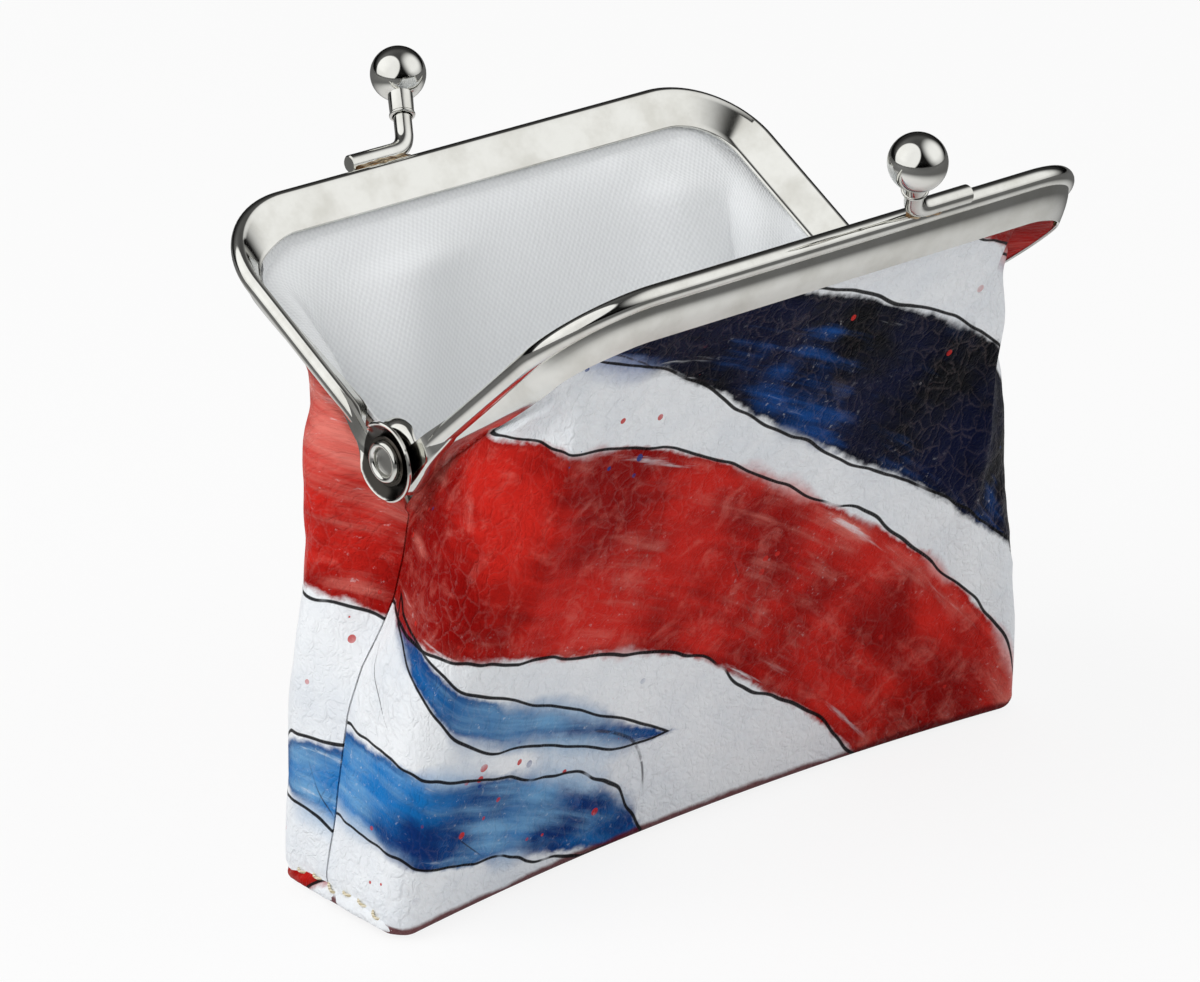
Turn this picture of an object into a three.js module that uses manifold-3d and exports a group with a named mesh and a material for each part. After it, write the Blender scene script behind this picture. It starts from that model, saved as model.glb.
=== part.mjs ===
// Kiss-lock coin purse, standing open: two plated steel channel frames that turn on a rivet at each end,
// a ball clasp on each frame, and a lined bag of two leatherette panels held in the channels.
// Millimetres, +Z up. X runs from hinge to hinge, -Y is the front, and the origin is mid-base on the ground.
import * as THREE from "three";
import { mergeVertices } from "three/addons/utils/BufferGeometryUtils.js";
import Module from "manifold-3d";

const wasm = await Module();
wasm.setup();

// Stance: how far each frame leans from upright, and where the hinge axis stands
const FRONT_LEAN = 47.5;
const BACK_LEAN = 61.5;
const HINGE_HEIGHT = 56;

// Frame channel
const FRAME_WIDTH = 85; // outside, across the arms
const FRAME_REACH = 43; // hinge axis to the top of the bar
const CORNER_RADIUS = 12.5; // outside of the bar's corners
const SHEET = 0.5; // steel thickness
const ROLL_WIDTH = 2.5; // rounded spine, measured across the frame
const BAR_DEPTH = 5.7; // channel walls on the bar
const ARM_DEPTH = 3; // channel walls on the arms
const BAR_THICKNESS = 5.2; // across the channel's lips on the bar
const EAR_THICKNESS = 3.6; // the same beside an ear
const BAR_LIP_RISE = 2; // how far the inner lip stands back from the spine on the bar
const EAR_LIP_RISE = 0.6; // the same beside an ear
const CLOSING_GAP = 0.4; // between the two frames when they are shut

// Hinge ears, rivets and washers
const EAR_RADIUS = 4.7;
const EAR_DISH = 0.8; // height of the outer ear's raised rim
const EAR_DISH_START = 3.4; // radius where the rim begins to rise
const EAR_CLEARANCE = 0.2; // between the two ears, and beside the rivet's ends
const EAR_TO_ARM = 0.6; // an ear's edge to the end of an arm's channel
const TAB_LAP = 3.6; // how far an ear's tab runs up its arm
const RIVET_SHANK_RADIUS = 1.75;
const RIVET_BORE_RADIUS = 1.35;
const RIVET_BORE_DEPTH = 1.6;
const RIVET_HEAD_RADIUS = 2.7;
const RIVET_HEAD = 0.6; // thickness of each end
const RIVET_CLEARANCE = 0.15; // round the shank
const WASHER_RADIUS = 3.1;
const WASHER_THICKNESS = 0.3;

// Ball clasp: a ball with a collar on a bent rod that is brazed along the bar
const BALL_RADIUS = 3.55;
const BALL_PASSING_GAP = 0.2; // between the two balls as they pass
const BALL_RISE = 11.1; // bar to the ball's centre
const BALL_CROSSING = 1.2; // how far the ball's centre stands past the closing plane
const ROD_DIAMETER = 2.3;
const ROD_LEG = 9; // leg on the bar, from the elbow
const ROD_BEND = 2.2; // length of rod that the bend takes on each side
const ROD_LEAN = 4.7; // the elbow stands this much further from the middle than the ball
const BRAZE_GAP = 0.25; // leg to bar
const SOCKET_CLEARANCE = 0.15;
const SOCKET_DEPTH = 2.4;
const COLLAR_WALL = 0.4;
const COLLAR_LENGTH = 1.8;

// Bag
const BASE_WIDTH = 103;
const BASE_DEPTH = 23;
const BASE_CORNER = 3.2;
const BASE_BOW = 2.2; // how far each long side of the base is drawn in at its middle
const BASE_UNDER_ARM = 24; // length of the base's outline that hangs from an arm
const BASE_UNDER_CORNER = 8; // and from a corner of the frame
const BASE_EDGE = 1.6; // rounding between base and sides
const SEAM_BEHIND = 1.5; // the base seam lies this far behind the middle
const SEAM_GAP = 0.3;
const SEAM_END = 4; // base seam to the bag's side
const LEATHER = 0.7;
const LINING = 0.35;
const LINING_INSET = 2; // bag's outside to the lining
const CHANNEL_CLEARANCE = 0.3; // leather to the channel's outer wall
const LIP_CLEARANCE = 0.4; // leather to the edge of the channel's lips
const LAYER_GAP = 0.25; // leather to lining where both are held in the channel
const EDGE_INSET = 3.6; // bar's top to the bag's edge in the channel
const SIDE_SWELL = 5; // pull of the bag's sides outwards above the base
const FRONT_SWELL = 10; // the same on the panels
const SIDE_RISE = 110; // pull of the bag's sides upwards above the base
const FRONT_RISE = 60; // the same on the panels
const BAR_PULL = 20; // pull of the bag's edge into the middle of the bar
const CORNER_PULL = 26; // the same at the frame's corners
const EAR_PULL = -9; // the same beside the ears, where the bag folds out round the channel's lip
const EAR_FOLD = 18; // pull of the bag's edge across the lip beside the ears
const SEAM_PULL = 8; // pull of the side seams upwards below the ears
const HINGE_DROP = 1.6; // ear to the top of the side seam
const HINGE_INSET = 0.6; // rivet to the top of the side seam

// Paper cord in the channels, and sewing thread
const CORD_DIAMETER = 1;
const THREAD_DIAMETER = 0.4;
const THREAD_GAP = 0.25; // leather to thread

// Facets
const ROLL_FACETS = 6;
const CORNER_STEPS = 7;
const ARM_STEPS = 4;
const BAR_STEPS = 2;
const SHEET_ARM_STEPS = 8;
const SHEET_CORNER_STEPS = 4;
const SHEET_BAR_STEPS = 3;
const ROUND_FACETS = 20;
const BALL_ROWS = 10;
const ROD_FACETS = 5; // pairs of sides
const ROD_STEPS = 20;
const CORD_FACETS = 8;
const THREAD_FACETS = 3; // pairs of sides
const THREAD_STEPS = 16;
const MERGE_TOLERANCE = 1e-5;

// Rows of the bag's sheets: shares of the way across the base, and of the climb from its edge to the channel
const BASE_SHARES = [0, 0.5, 1];
const CLIMBS = [0, 0.08, 0.2, 0.34, 0.5, 0.66, 0.8, 0.9, 0.96, 1];

// Places that follow from the sizes above
const halfWidth = FRAME_WIDTH / 2;
const closingFace = CLOSING_GAP / 2;
const rollRadius = ROLL_WIDTH / 2;
const rollCentre = closingFace + rollRadius;
const armStart = EAR_RADIUS + EAR_TO_ARM;
const armEnd = FRAME_REACH - CORNER_RADIUS;
const earHole = RIVET_SHANK_RADIUS + RIVET_CLEARANCE;
const outerEar = halfWidth + EAR_CLEARANCE;
const washerFace = outerEar + SHEET + EAR_CLEARANCE / 2;
const rivetOuter = washerFace + WASHER_THICKNESS + EAR_CLEARANCE / 2;
const rivetInner = halfWidth - SHEET - EAR_CLEARANCE;
const ballOffset = BALL_RADIUS + BALL_PASSING_GAP / 2;

const { degToRad, lerp, smoothstep } = THREE.MathUtils;
const point = (x, y, z) => new THREE.Vector3(x, y, z);

// Materials

const nickel = new THREE.MeshStandardMaterial({ color: 0xc9c7c0, roughness: 0.12, metalness: 1 });
const leatherette = new THREE.MeshStandardMaterial({ color: 0xb8241f, roughness: 0.45, metalness: 0 });
const liningCloth = new THREE.MeshStandardMaterial({ color: 0xe6e7ea, roughness: 0.8, metalness: 0 });
const paper = new THREE.MeshStandardMaterial({ color: 0xc8a878, roughness: 0.9, metalness: 0 });
const thread = new THREE.MeshStandardMaterial({ color: 0xe9e0c6, roughness: 0.85, metalness: 0 });

function piece(name, geometry, material) {
  const mesh = new THREE.Mesh(geometry, material);
  mesh.name = name;
  return mesh;
}

// Solids

// Turns a closed geometry's faces outwards, by the sign of its volume.
function facingOut(geometry) {
  geometry.deleteAttribute("normal");
  geometry.deleteAttribute("uv");
  const merged = mergeVertices(geometry, MERGE_TOLERANCE);
  const corner = new THREE.Vector3();
  const [a, b, c] = [new THREE.Vector3(), new THREE.Vector3(), new THREE.Vector3()];
  const { position } = merged.attributes;
  const index = merged.index.array;
  const triangles = [];
  let volume = 0;
  for (let i = 0; i < index.length; i += 3) {
    const [p, q, r] = index.slice(i, i + 3);
    if (p === q || q === r || r === p) continue;
    triangles.push([p, q, r]);
    a.fromBufferAttribute(position, p);
    b.fromBufferAttribute(position, q);
    c.fromBufferAttribute(position, r);
    volume += a.dot(corner.crossVectors(b, c));
  }
  merged.setIndex(triangles.flatMap(([p, q, r]) => (volume < 0 ? [p, r, q] : [p, q, r])));
  return merged;
}

function toSolid(geometry) {
  const closed = facingOut(geometry);
  const vertProperties = new Float32Array(closed.attributes.position.array);
  return new wasm.Manifold(
    new wasm.Mesh({ numProp: 3, vertProperties, triVerts: new Uint32Array(closed.index.array) }),
  );
}

function toGeometry(solid) {
  const { vertProperties, triVerts } = solid.getMesh();
  const geometry = new THREE.BufferGeometry();
  geometry.setAttribute("position", new THREE.BufferAttribute(vertProperties, 3));
  geometry.setIndex(new THREE.BufferAttribute(triVerts, 1));
  return geometry;
}

const join = (...geometries) => toGeometry(geometries.map(toSolid).reduce((all, one) => all.add(one)));

// A closed solid through rings of points that share one flat outline, which also fills its two ends.
function loft(rings, outline) {
  const size = outline.length;
  const last = (rings.length - 1) * size;
  const index = [];
  for (let ring = 0; ring < last; ring += size)
    for (let i = 0; i < size; i++) {
      const [a, b] = [ring + i, ring + ((i + 1) % size)];
      index.push(a, b, a + size, b, b + size, a + size);
    }
  for (const [a, b, c] of THREE.ShapeUtils.triangulateShape(outline, []))
    index.push(a, c, b, last + a, last + b, last + c);
  const geometry = new THREE.BufferGeometry().setFromPoints(rings.flat());
  geometry.setIndex(index);
  return facingOut(geometry);
}

// A round bar along a curve.
function roundBar(curve, diameter, facets, steps) {
  const section = new THREE.Shape().absarc(0, 0, diameter / 2, 0, 2 * Math.PI);
  const options = { steps, curveSegments: facets, extrudePath: curve };
  return facingOut(new THREE.ExtrudeGeometry(section, options));
}

// A turned solid about +Z. The profile holds [radius, height] pairs.
function turned(profile, facets = ROUND_FACETS) {
  const points = profile.map(([radius, height]) => new THREE.Vector2(radius, height));
  return facingOut(new THREE.LatheGeometry(points, facets).rotateX(Math.PI / 2));
}

// The same about the hinge axis, where heights are distances out from the middle on the side given.
const turnedOnHinge = (profile, side) => facingOut(turned(profile).rotateY((side * Math.PI) / 2));

// A frame in its own place: x along the bar, z up from the hinge axis, y outwards from the closing plane

// Stations along the frame's outer edge, from the left arm's end to the right one's: place, way out, depth
// of the walls, and a taper from 0 beside the ears to 1 at the bar. The walls deepen round the corners.
function frameStations(start, armSteps, cornerSteps, barSteps) {
  const left = [];
  for (let i = 0; i < armSteps; i++) left.push([-halfWidth, lerp(start, armEnd, i / armSteps), Math.PI]);
  for (let i = 0; i < cornerSteps; i++) {
    const turn = Math.PI - (i / cornerSteps) * (Math.PI / 2);
    left.push([
      CORNER_RADIUS - halfWidth + CORNER_RADIUS * Math.cos(turn),
      armEnd + CORNER_RADIUS * Math.sin(turn),
      turn,
    ]);
  }
  for (let i = 0; i < barSteps; i++)
    left.push([lerp(CORNER_RADIUS - halfWidth, 0, i / barSteps), FRAME_REACH, Math.PI / 2]);
  const right = left.map(([x, z, turn]) => [-x, z, Math.PI - turn]).reverse();
  return [...left, [0, FRAME_REACH, Math.PI / 2], ...right].map(([x, z, turn]) => ({
    x,
    z,
    out: [Math.cos(turn), Math.sin(turn)],
    depth: lerp(ARM_DEPTH, BAR_DEPTH, smoothstep(Math.sin(turn), 0, 1)),
    taper: smoothstep(z, armStart, armEnd),
  }));
}

// Where the channel's walls stand, as distances of their faces from the closing plane.
const thicknessAt = (taper) => lerp(EAR_THICKNESS, BAR_THICKNESS, taper);
const lipRiseAt = (taper) => lerp(EAR_LIP_RISE, BAR_LIP_RISE, taper);
const downWall = ({ depth }, inset) => Math.max(0, inset - rollRadius) / (depth - rollRadius);
const outerWall = (station, inset) =>
  closingFace + lerp(ROLL_WIDTH, thicknessAt(station.taper), downWall(station, inset));
const leatherAcross = (station, inset) => outerWall(station, inset) - SHEET - CHANNEL_CLEARANCE;

// A point in the channel: an inset from the frame's edge, and a distance from the closing plane.
const inChannel = ({ x, z, out }, inset, across) => point(x - inset * out[0], across, z - inset * out[1]);

// The channel's section as [inset, across] pairs: outer wall, spine, inner wall, and back along the inside.
function channelSection({ depth, taper }) {
  const spine = (radius) =>
    Array.from({ length: ROLL_FACETS + 1 }, (_, i) => {
      const turn = (i / ROLL_FACETS) * Math.PI;
      return [rollRadius - radius * Math.sin(turn), rollCentre + radius * Math.cos(turn)];
    });
  const outerLip = closingFace + thicknessAt(taper);
  const innerLip = closingFace + lipRiseAt(taper);
  return [
    [depth, outerLip],
    ...spine(rollRadius),
    [depth, innerLip],
    [depth, innerLip + SHEET],
    ...spine(rollRadius - SHEET).reverse(),
    [depth, outerLip - SHEET],
  ];
}

// A solid that runs the length of the channel, with a section for each station.
function alongFrame(sectionAt) {
  const stations = frameStations(armStart, ARM_STEPS, CORNER_STEPS, BAR_STEPS);
  const rings = stations.map((station) =>
    sectionAt(station).map(([inset, across]) => inChannel(station, inset, across)),
  );
  return loft(rings, sectionAt(stations[0]).map(([inset, across]) => new THREE.Vector2(inset, across)));
}

const channel = () => alongFrame(channelSection);

// Paper cord that thickens the bag's edge, lying in the hollow of the spine.
function channelCord() {
  const radius = CORD_DIAMETER / 2;
  const section = Array.from({ length: CORD_FACETS }, (_, i) => {
    const turn = (2 * Math.PI * i) / CORD_FACETS;
    return [rollRadius + radius * Math.cos(turn), rollCentre + radius * Math.sin(turn)];
  });
  return alongFrame(() => section);
}

// A hinge ear on one side: a disc round the hinge axis and a tab that runs up the arm.
// The outer ear is dished and stepped out, so that it passes over the other frame's flat ear.
function ear(side, isOuter) {
  const face = isOuter ? outerEar : halfWidth - SHEET;
  const rim = isOuter ? EAR_DISH : 0;
  const disc = turnedOnHinge(
    [
      [earHole, face],
      [EAR_DISH_START, face],
      [EAR_RADIUS, face + rim],
      [EAR_RADIUS, face + rim + SHEET],
      [EAR_DISH_START, face + SHEET],
      [earHole, face + SHEET],
      [earHole, face],
    ],
    side,
  );
  const spine = halfWidth - SHEET;
  const tabFoot = earHole + SHEET;
  const stepStart = armStart + SHEET;
  const stepEnd = stepStart + TAB_LAP / 2;
  const tabTop = armStart + TAB_LAP;
  const outline = [
    [face, tabFoot],
    [face, stepStart],
    [spine, stepEnd],
    [spine, tabTop],
    [spine + SHEET, tabTop],
    [spine + SHEET, stepEnd + SHEET / 2],
    [face + SHEET, stepStart + SHEET / 2],
    [face + SHEET, tabFoot],
  ].map(([x, z]) => new THREE.Vector2(side * x, z));
  const options = { depth: EAR_THICKNESS, bevelEnabled: false };
  const tab = new THREE.ExtrudeGeometry(new THREE.Shape(outline), options);
  tab.rotateX(Math.PI / 2).translate(0, closingFace + EAR_THICKNESS, 0);
  return join(disc, tab);
}

const frameShape = () => join(channel(), ear(-1, true), ear(1, false));

// The clasp stands left of the middle on the frame, so that the two balls pass side by side.
const ballCentre = point(-ballOffset, -BALL_CROSSING, FRAME_REACH + BALL_RISE);
const rodElbow = point(-ballOffset - ROD_LEAN, rollCentre, FRAME_REACH + BRAZE_GAP + ROD_DIAMETER / 2);
const postWay = ballCentre.clone().sub(rodElbow).normalize();

function claspPost() {
  const legWay = point(-1, 0, 0);
  const legEnd = rodElbow.clone().addScaledVector(legWay, ROD_LEG);
  const bendStart = rodElbow.clone().addScaledVector(legWay, ROD_BEND);
  const bendEnd = rodElbow.clone().addScaledVector(postWay, ROD_BEND);
  const tip = ballCentre.clone().addScaledVector(postWay, SOCKET_DEPTH - BALL_RADIUS - SOCKET_CLEARANCE);
  const route = new THREE.CurvePath();
  route.add(new THREE.LineCurve3(legEnd, bendStart));
  route.add(new THREE.QuadraticBezierCurve3(bendStart, rodElbow, bendEnd));
  route.add(new THREE.LineCurve3(bendEnd, tip));
  return roundBar(route, ROD_DIAMETER, ROD_FACETS, ROD_STEPS);
}

// A ball with a collar, and a blind socket for the rod.
function claspBall() {
  const socket = ROD_DIAMETER / 2 + SOCKET_CLEARANCE;
  const collar = socket + COLLAR_WALL;
  const neck = Math.PI - Math.asin(collar / BALL_RADIUS);
  const profile = [];
  for (let i = 0; i <= BALL_ROWS; i++) {
    const turn = (neck * i) / BALL_ROWS;
    profile.push([BALL_RADIUS * Math.sin(turn), BALL_RADIUS * Math.cos(turn)]);
  }
  const collarEnd = -BALL_RADIUS - COLLAR_LENGTH;
  const socketEnd = SOCKET_DEPTH - BALL_RADIUS;
  profile.push([collar, collarEnd], [socket, collarEnd], [socket, socketEnd], [0, socketEnd]);
  const ball = turned(profile);
  ball.applyQuaternion(new THREE.Quaternion().setFromUnitVectors(point(0, 0, 1), postWay));
  return ball.translate(...ballCentre);
}

// Both frames are the same pressing. The front one is turned round to face the back one.
function frameAssembly(prefix, lean, isFront) {
  const parts = new THREE.Group();
  parts.add(
    piece(`${prefix}_frame`, frameShape(), nickel),
    piece(`${prefix}_clasp_post`, claspPost(), nickel),
    piece(`${prefix}_clasp_ball`, claspBall(), nickel),
    piece(`${prefix}_channel_cord`, channelCord(), paper),
  );
  parts.rotation.z = isFront ? Math.PI : 0;
  const leaning = new THREE.Group();
  leaning.add(parts);
  leaning.position.z = HINGE_HEIGHT;
  leaning.rotation.x = degToRad(isFront ? lean : -lean);
  return leaning;
}

// Hinge rivets and washers

// A semi-tubular rivet: a solid head inside the bag, and an end rolled over the washer outside.
function hingeRivet(side) {
  const innerFace = rivetInner - RIVET_HEAD;
  const outerFace = rivetOuter + RIVET_HEAD;
  const boreEnd = outerFace - RIVET_BORE_DEPTH;
  const roundOff = RIVET_HEAD / 3;
  return turnedOnHinge(
    [
      [0, innerFace],
      [RIVET_HEAD_RADIUS - roundOff, innerFace],
      [RIVET_HEAD_RADIUS, innerFace + roundOff],
      [RIVET_HEAD_RADIUS, rivetInner],
      [RIVET_SHANK_RADIUS, rivetInner],
      [RIVET_SHANK_RADIUS, rivetOuter],
      [RIVET_HEAD_RADIUS, rivetOuter],
      [RIVET_HEAD_RADIUS, outerFace - roundOff],
      [RIVET_HEAD_RADIUS - roundOff, outerFace],
      [RIVET_BORE_RADIUS + roundOff, outerFace],
      [RIVET_BORE_RADIUS, outerFace - roundOff],
      [RIVET_BORE_RADIUS, boreEnd],
      [0, boreEnd],
    ],
    side,
  ).translate(0, 0, HINGE_HEIGHT);
}

function hingeWasher(side) {
  return turnedOnHinge(
    [
      [earHole, washerFace],
      [WASHER_RADIUS, washerFace],
      [WASHER_RADIUS, washerFace + WASHER_THICKNESS],
      [earHole, washerFace + WASHER_THICKNESS],
      [earHole, washerFace],
    ],
    side,
  ).translate(0, 0, HINGE_HEIGHT);
}

// Bag: each layer of a side is a sheet from the base seam to the base's edge, up, and into the channel

// A point of a leaning frame, where y is the distance out from the bag's middle plane.
function leaned({ x, y, z }, lean) {
  const turn = degToRad(lean);
  const [sin, cos] = [Math.sin(turn), Math.cos(turn)];
  return point(x, z * sin + y * cos, HINGE_HEIGHT + z * cos - y * sin);
}

const leanedWay = (x, y, z, lean) => leaned(point(x, y, z), lean).sub(point(0, 0, HINGE_HEIGHT));

// Where the leather enters the channel and where it ends there, with the way that it heads in, and how far
// the lining lies from the leather's face. The places run up one arm, round the bar and down the other, with
// the side seams' tops at both ends.
function upperEdge(lean) {
  const seamTop = (side) => {
    const mouth = point(
      side * (rivetInner - RIVET_HEAD - HINGE_INSET),
      SEAM_GAP / 2,
      HINGE_HEIGHT - EAR_RADIUS - HINGE_DROP - SHEET,
    );
    const end = mouth.clone().setZ(mouth.z + SHEET);
    return { mouth, end, way: point(0, 0, SEAM_PULL), spacing: LINING_INSET };
  };
  const inFrame = (station) => {
    const { x, out, depth, taper } = station;
    const at = (inset) => leaned(inChannel(station, inset, leatherAcross(station, inset)), lean);
    const towardsCorner = smoothstep(Math.abs(x), 0, halfWidth - CORNER_RADIUS);
    const pull = lerp(EAR_PULL, lerp(BAR_PULL, CORNER_PULL, towardsCorner), taper);
    return {
      mouth: at(depth + LIP_CLEARANCE),
      end: at(Math.min(EDGE_INSET, depth - SHEET)),
      way: leanedWay(out[0] * pull, EAR_FOLD * (taper - 1), out[1] * pull, lean),
      spacing: LEATHER + LAYER_GAP,
    };
  };
  const stations = frameStations(armStart + SHEET, SHEET_ARM_STEPS, SHEET_CORNER_STEPS, SHEET_BAR_STEPS);
  return [seamTop(-1), ...stations.map(inFrame), seamTop(1)];
}

// The base's outline for one side of the bag: a place and a way out below each station of the upper edge.
// The stretches of the outline below an arm and below a corner have lengths of their own.
function baseOutline(inset, seamDepth) {
  const [half, depth, corner] = [BASE_WIDTH / 2, BASE_DEPTH / 2, BASE_CORNER].map((size) => size - inset);
  const flank = depth - corner - seamDepth;
  const arc = (corner * Math.PI) / 2;
  const front = half - corner;
  const whole = flank + arc + front;
  const along = (walk) => {
    if (walk <= flank) return [half, seamDepth + walk, 0];
    if (walk >= flank + arc) {
      const x = whole - walk;
      return [x, depth - BASE_BOW * (1 - (x / front) ** 2), Math.PI / 2];
    }
    const turn = (walk - flank) / corner;
    return [half - corner + corner * Math.cos(turn), depth - corner + corner * Math.sin(turn), turn];
  };
  const walks = [0];
  const stretch = (end, steps) => {
    const start = walks.at(-1);
    for (let i = 1; i <= steps; i++) walks.push(lerp(start, end, i / steps));
  };
  stretch(BASE_UNDER_ARM, SHEET_ARM_STEPS + 1);
  stretch(BASE_UNDER_ARM + BASE_UNDER_CORNER, SHEET_CORNER_STEPS);
  stretch(whole, SHEET_BAR_STEPS);
  const left = walks.map((walk) => {
    const [x, y, turn] = along(walk);
    const seamX = lerp(half - SEAM_END, 0, walk / whole);
    return { x: -x, y, out: [-Math.cos(turn), Math.sin(turn)], seamX: -seamX };
  });
  const mirrored = ({ x, y, out, seamX }) => ({ x: -x, y, out: [-out[0], out[1]], seamX: -seamX });
  return [...left, ...left.slice(0, -1).map(mirrored).reverse()];
}

// A sheet's rows run from the left side seam to the right one. These are the rows on the base and round its
// edge, for a sheet that lies inset from the bag's outside.
function baseRows(base, inset, seamDepth) {
  const at = ({ x, y, out }, drawIn, z) => point(x - drawIn * out[0], y - drawIn * out[1], z + inset);
  const flat = BASE_SHARES.map((share) =>
    base.map((place) => {
      const edge = at(place, BASE_EDGE, 0);
      return point(lerp(place.seamX, edge.x, share), lerp(seamDepth, edge.y, share), edge.z);
    }),
  );
  const rounding = base.map((place) => at(place, BASE_EDGE / 4, BASE_EDGE / 3));
  return [...flat, rounding, base.map((place) => at(place, 0, BASE_EDGE))];
}

function leatherRows(upper, seamDepth) {
  const base = baseOutline(0, seamDepth);
  const lower = baseRows(base, 0, seamDepth);
  const foot = lower.pop();
  const climbing = CLIMBS.map((climb) =>
    upper.map(({ mouth, way }, i) => {
      const [side, front] = base[i].out;
      const rise = lerp(FRONT_RISE, SIDE_RISE, side * side);
      return hermite(foot[i], point(SIDE_SWELL * side, FRONT_SWELL * front, rise), mouth, way, climb);
    }),
  );
  return [...lower, ...climbing, upper.map(({ end }) => end)];
}

// The lining has a base of its own, and follows the leather above it.
function liningRows(upper, leather, seamDepth) {
  const lower = baseRows(baseOutline(LINING_INSET, seamDepth), LINING_INSET, seamDepth);
  const inward = inwardWays(leather);
  const follow = (row, climb) =>
    leather[row].map((p, c) =>
      p.clone().addScaledVector(inward[row][c], lerp(LINING_INSET, upper[c].spacing, climb * climb)),
    );
  const climbing = CLIMBS.slice(1).map((climb, i) => follow(lower.length + i, climb));
  return [...lower, ...climbing, follow(leather.length - 1, 1)];
}

// A cubic from one point to another with the given pulls at its ends.
function hermite(from, fromPull, to, toPull, t) {
  const [t2, t3] = [t * t, t * t * t];
  return point(0, 0, 0)
    .addScaledVector(from, 2 * t3 - 3 * t2 + 1)
    .addScaledVector(fromPull, t3 - 2 * t2 + t)
    .addScaledVector(to, 3 * t2 - 2 * t3)
    .addScaledVector(toPull, t3 - t2);
}

// The way into the bag at each point of a grid. Along the side seams it keeps to the seam's plane, and it is
// straight up where they meet the base seam.
function inwardWays(rows) {
  return rows.map((row, r) =>
    row.map((_, c) => {
      const along = row[Math.min(c + 1, row.length - 1)].clone().sub(row[Math.max(c - 1, 0)]);
      const up = rows[Math.min(r + 1, rows.length - 1)][c].clone().sub(rows[Math.max(r - 1, 0)][c]);
      const way = along.cross(up);
      if (c === 0 || c === row.length - 1) way.setY(0);
      return way.length() < MERGE_TOLERANCE ? point(0, 0, 1) : way.normalize();
    }),
  );
}

// A sheet of even thickness on a grid of points, on the side of the bag that y points to.
function sheetSolid(rows, thickness, side) {
  const inward = inwardWays(rows);
  const width = rows[0].length;
  const inner = rows.map((row, r) => row.map((p, c) => p.clone().addScaledVector(inward[r][c], thickness)));
  const points = [rows, inner].flat(2).map(({ x, y, z }) => point(x, side * y, z));
  const layer = rows.length * width;
  const index = [];
  const quad = (a, b, c, d) => index.push(a, b, c, a, c, d);
  for (let r = 0; r + 1 < rows.length; r++)
    for (let c = 0; c + 1 < width; c++) {
      const a = r * width + c;
      quad(a, a + 1, a + width + 1, a + width);
      quad(layer + a, layer + a + width, layer + a + width + 1, layer + a + 1);
    }
  const rim = [];
  for (let c = 0; c < width - 1; c++) rim.push(c);
  for (let r = 0; r < rows.length - 1; r++) rim.push(r * width + width - 1);
  for (let c = width - 1; c > 0; c--) rim.push((rows.length - 1) * width + c);
  for (let r = rows.length - 1; r > 0; r--) rim.push(r * width);
  rim.forEach((a, i) => {
    const b = rim[(i + 1) % rim.length];
    quad(b, a, layer + a, layer + b);
  });
  const geometry = new THREE.BufferGeometry().setFromPoints(points);
  geometry.setIndex(index);
  return facingOut(geometry);
}

// The front panel laps past the middle of the base, and the back one starts beyond it.
const seamDepthOf = (isFront) => (isFront ? -SEAM_BEHIND : SEAM_BEHIND + SEAM_GAP);

function bagSide(prefix, lean, isFront) {
  const side = isFront ? -1 : 1;
  const upper = upperEdge(lean);
  const leather = leatherRows(upper, seamDepthOf(isFront));
  const lining = liningRows(upper, leather, seamDepthOf(isFront));
  return [
    piece(`${prefix}_panel`, sheetSolid(leather, LEATHER, side), leatherette),
    piece(`${prefix}_lining`, sheetSolid(lining, LINING, side), liningCloth),
  ];
}

// Sewing

// Thread in the fold of a seam, just inside the leather.
function seamThread(points) {
  return roundBar(new THREE.CatmullRomCurve3(points), THREAD_DIAMETER, THREAD_FACETS, THREAD_STEPS);
}

const threadInset = LEATHER + THREAD_GAP + THREAD_DIAMETER / 2;
const seamMiddle = SEAM_BEHIND + SEAM_GAP / 2;

// Down a side seam, from under the hinge to the base.
function sideThread(side) {
  const rows = leatherRows(upperEdge(BACK_LEAN), seamDepthOf(false));
  const inward = inwardWays(rows);
  const column = side < 0 ? 0 : rows[0].length - 1;
  const firstRow = rows.length - CLIMBS.length;
  const points = [];
  for (let r = firstRow; r < rows.length - 1; r++) {
    const onSeam = rows[r][column].clone().addScaledVector(inward[r][column], threadInset);
    points.push(onSeam.setY(onSeam.y - SEAM_GAP / 2));
  }
  return seamThread(points);
}

function baseThread() {
  const reach = BASE_WIDTH / 2 - SEAM_END;
  return seamThread([-1, -0.5, 0, 0.5, 1].map((share) => point(share * reach, seamMiddle, threadInset)));
}

// Across a boxed corner, where the bag's side is sewn to its base.
function cornerThread(side) {
  const reach = BASE_DEPTH / 2 - BASE_CORNER;
  const out = BASE_WIDTH / 2 + THREAD_GAP;
  return seamThread([-1, -0.5, 0, 0.5, 1].map((share) => point(side * out, share * reach, BASE_EDGE / 2)));
}

// The purse

const purse = new THREE.Group();
purse.add(frameAssembly("front", FRONT_LEAN, true), frameAssembly("back", BACK_LEAN, false));
purse.add(...bagSide("front", FRONT_LEAN, true), ...bagSide("back", BACK_LEAN, false));
for (const [name, side] of [["left", -1], ["right", 1]])
  purse.add(
    piece(`${name}_hinge_rivet`, hingeRivet(side), nickel),
    piece(`${name}_hinge_washer`, hingeWasher(side), nickel),
    piece(`${name}_side_stitching`, sideThread(side), thread),
    piece(`${name}_corner_stitching`, cornerThread(side), thread),
  );
purse.add(piece("base_stitching", baseThread(), thread));

export default purse;
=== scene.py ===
import math

import bmesh
import bpy
import numpy as np
from mathutils import Matrix, Vector


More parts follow.
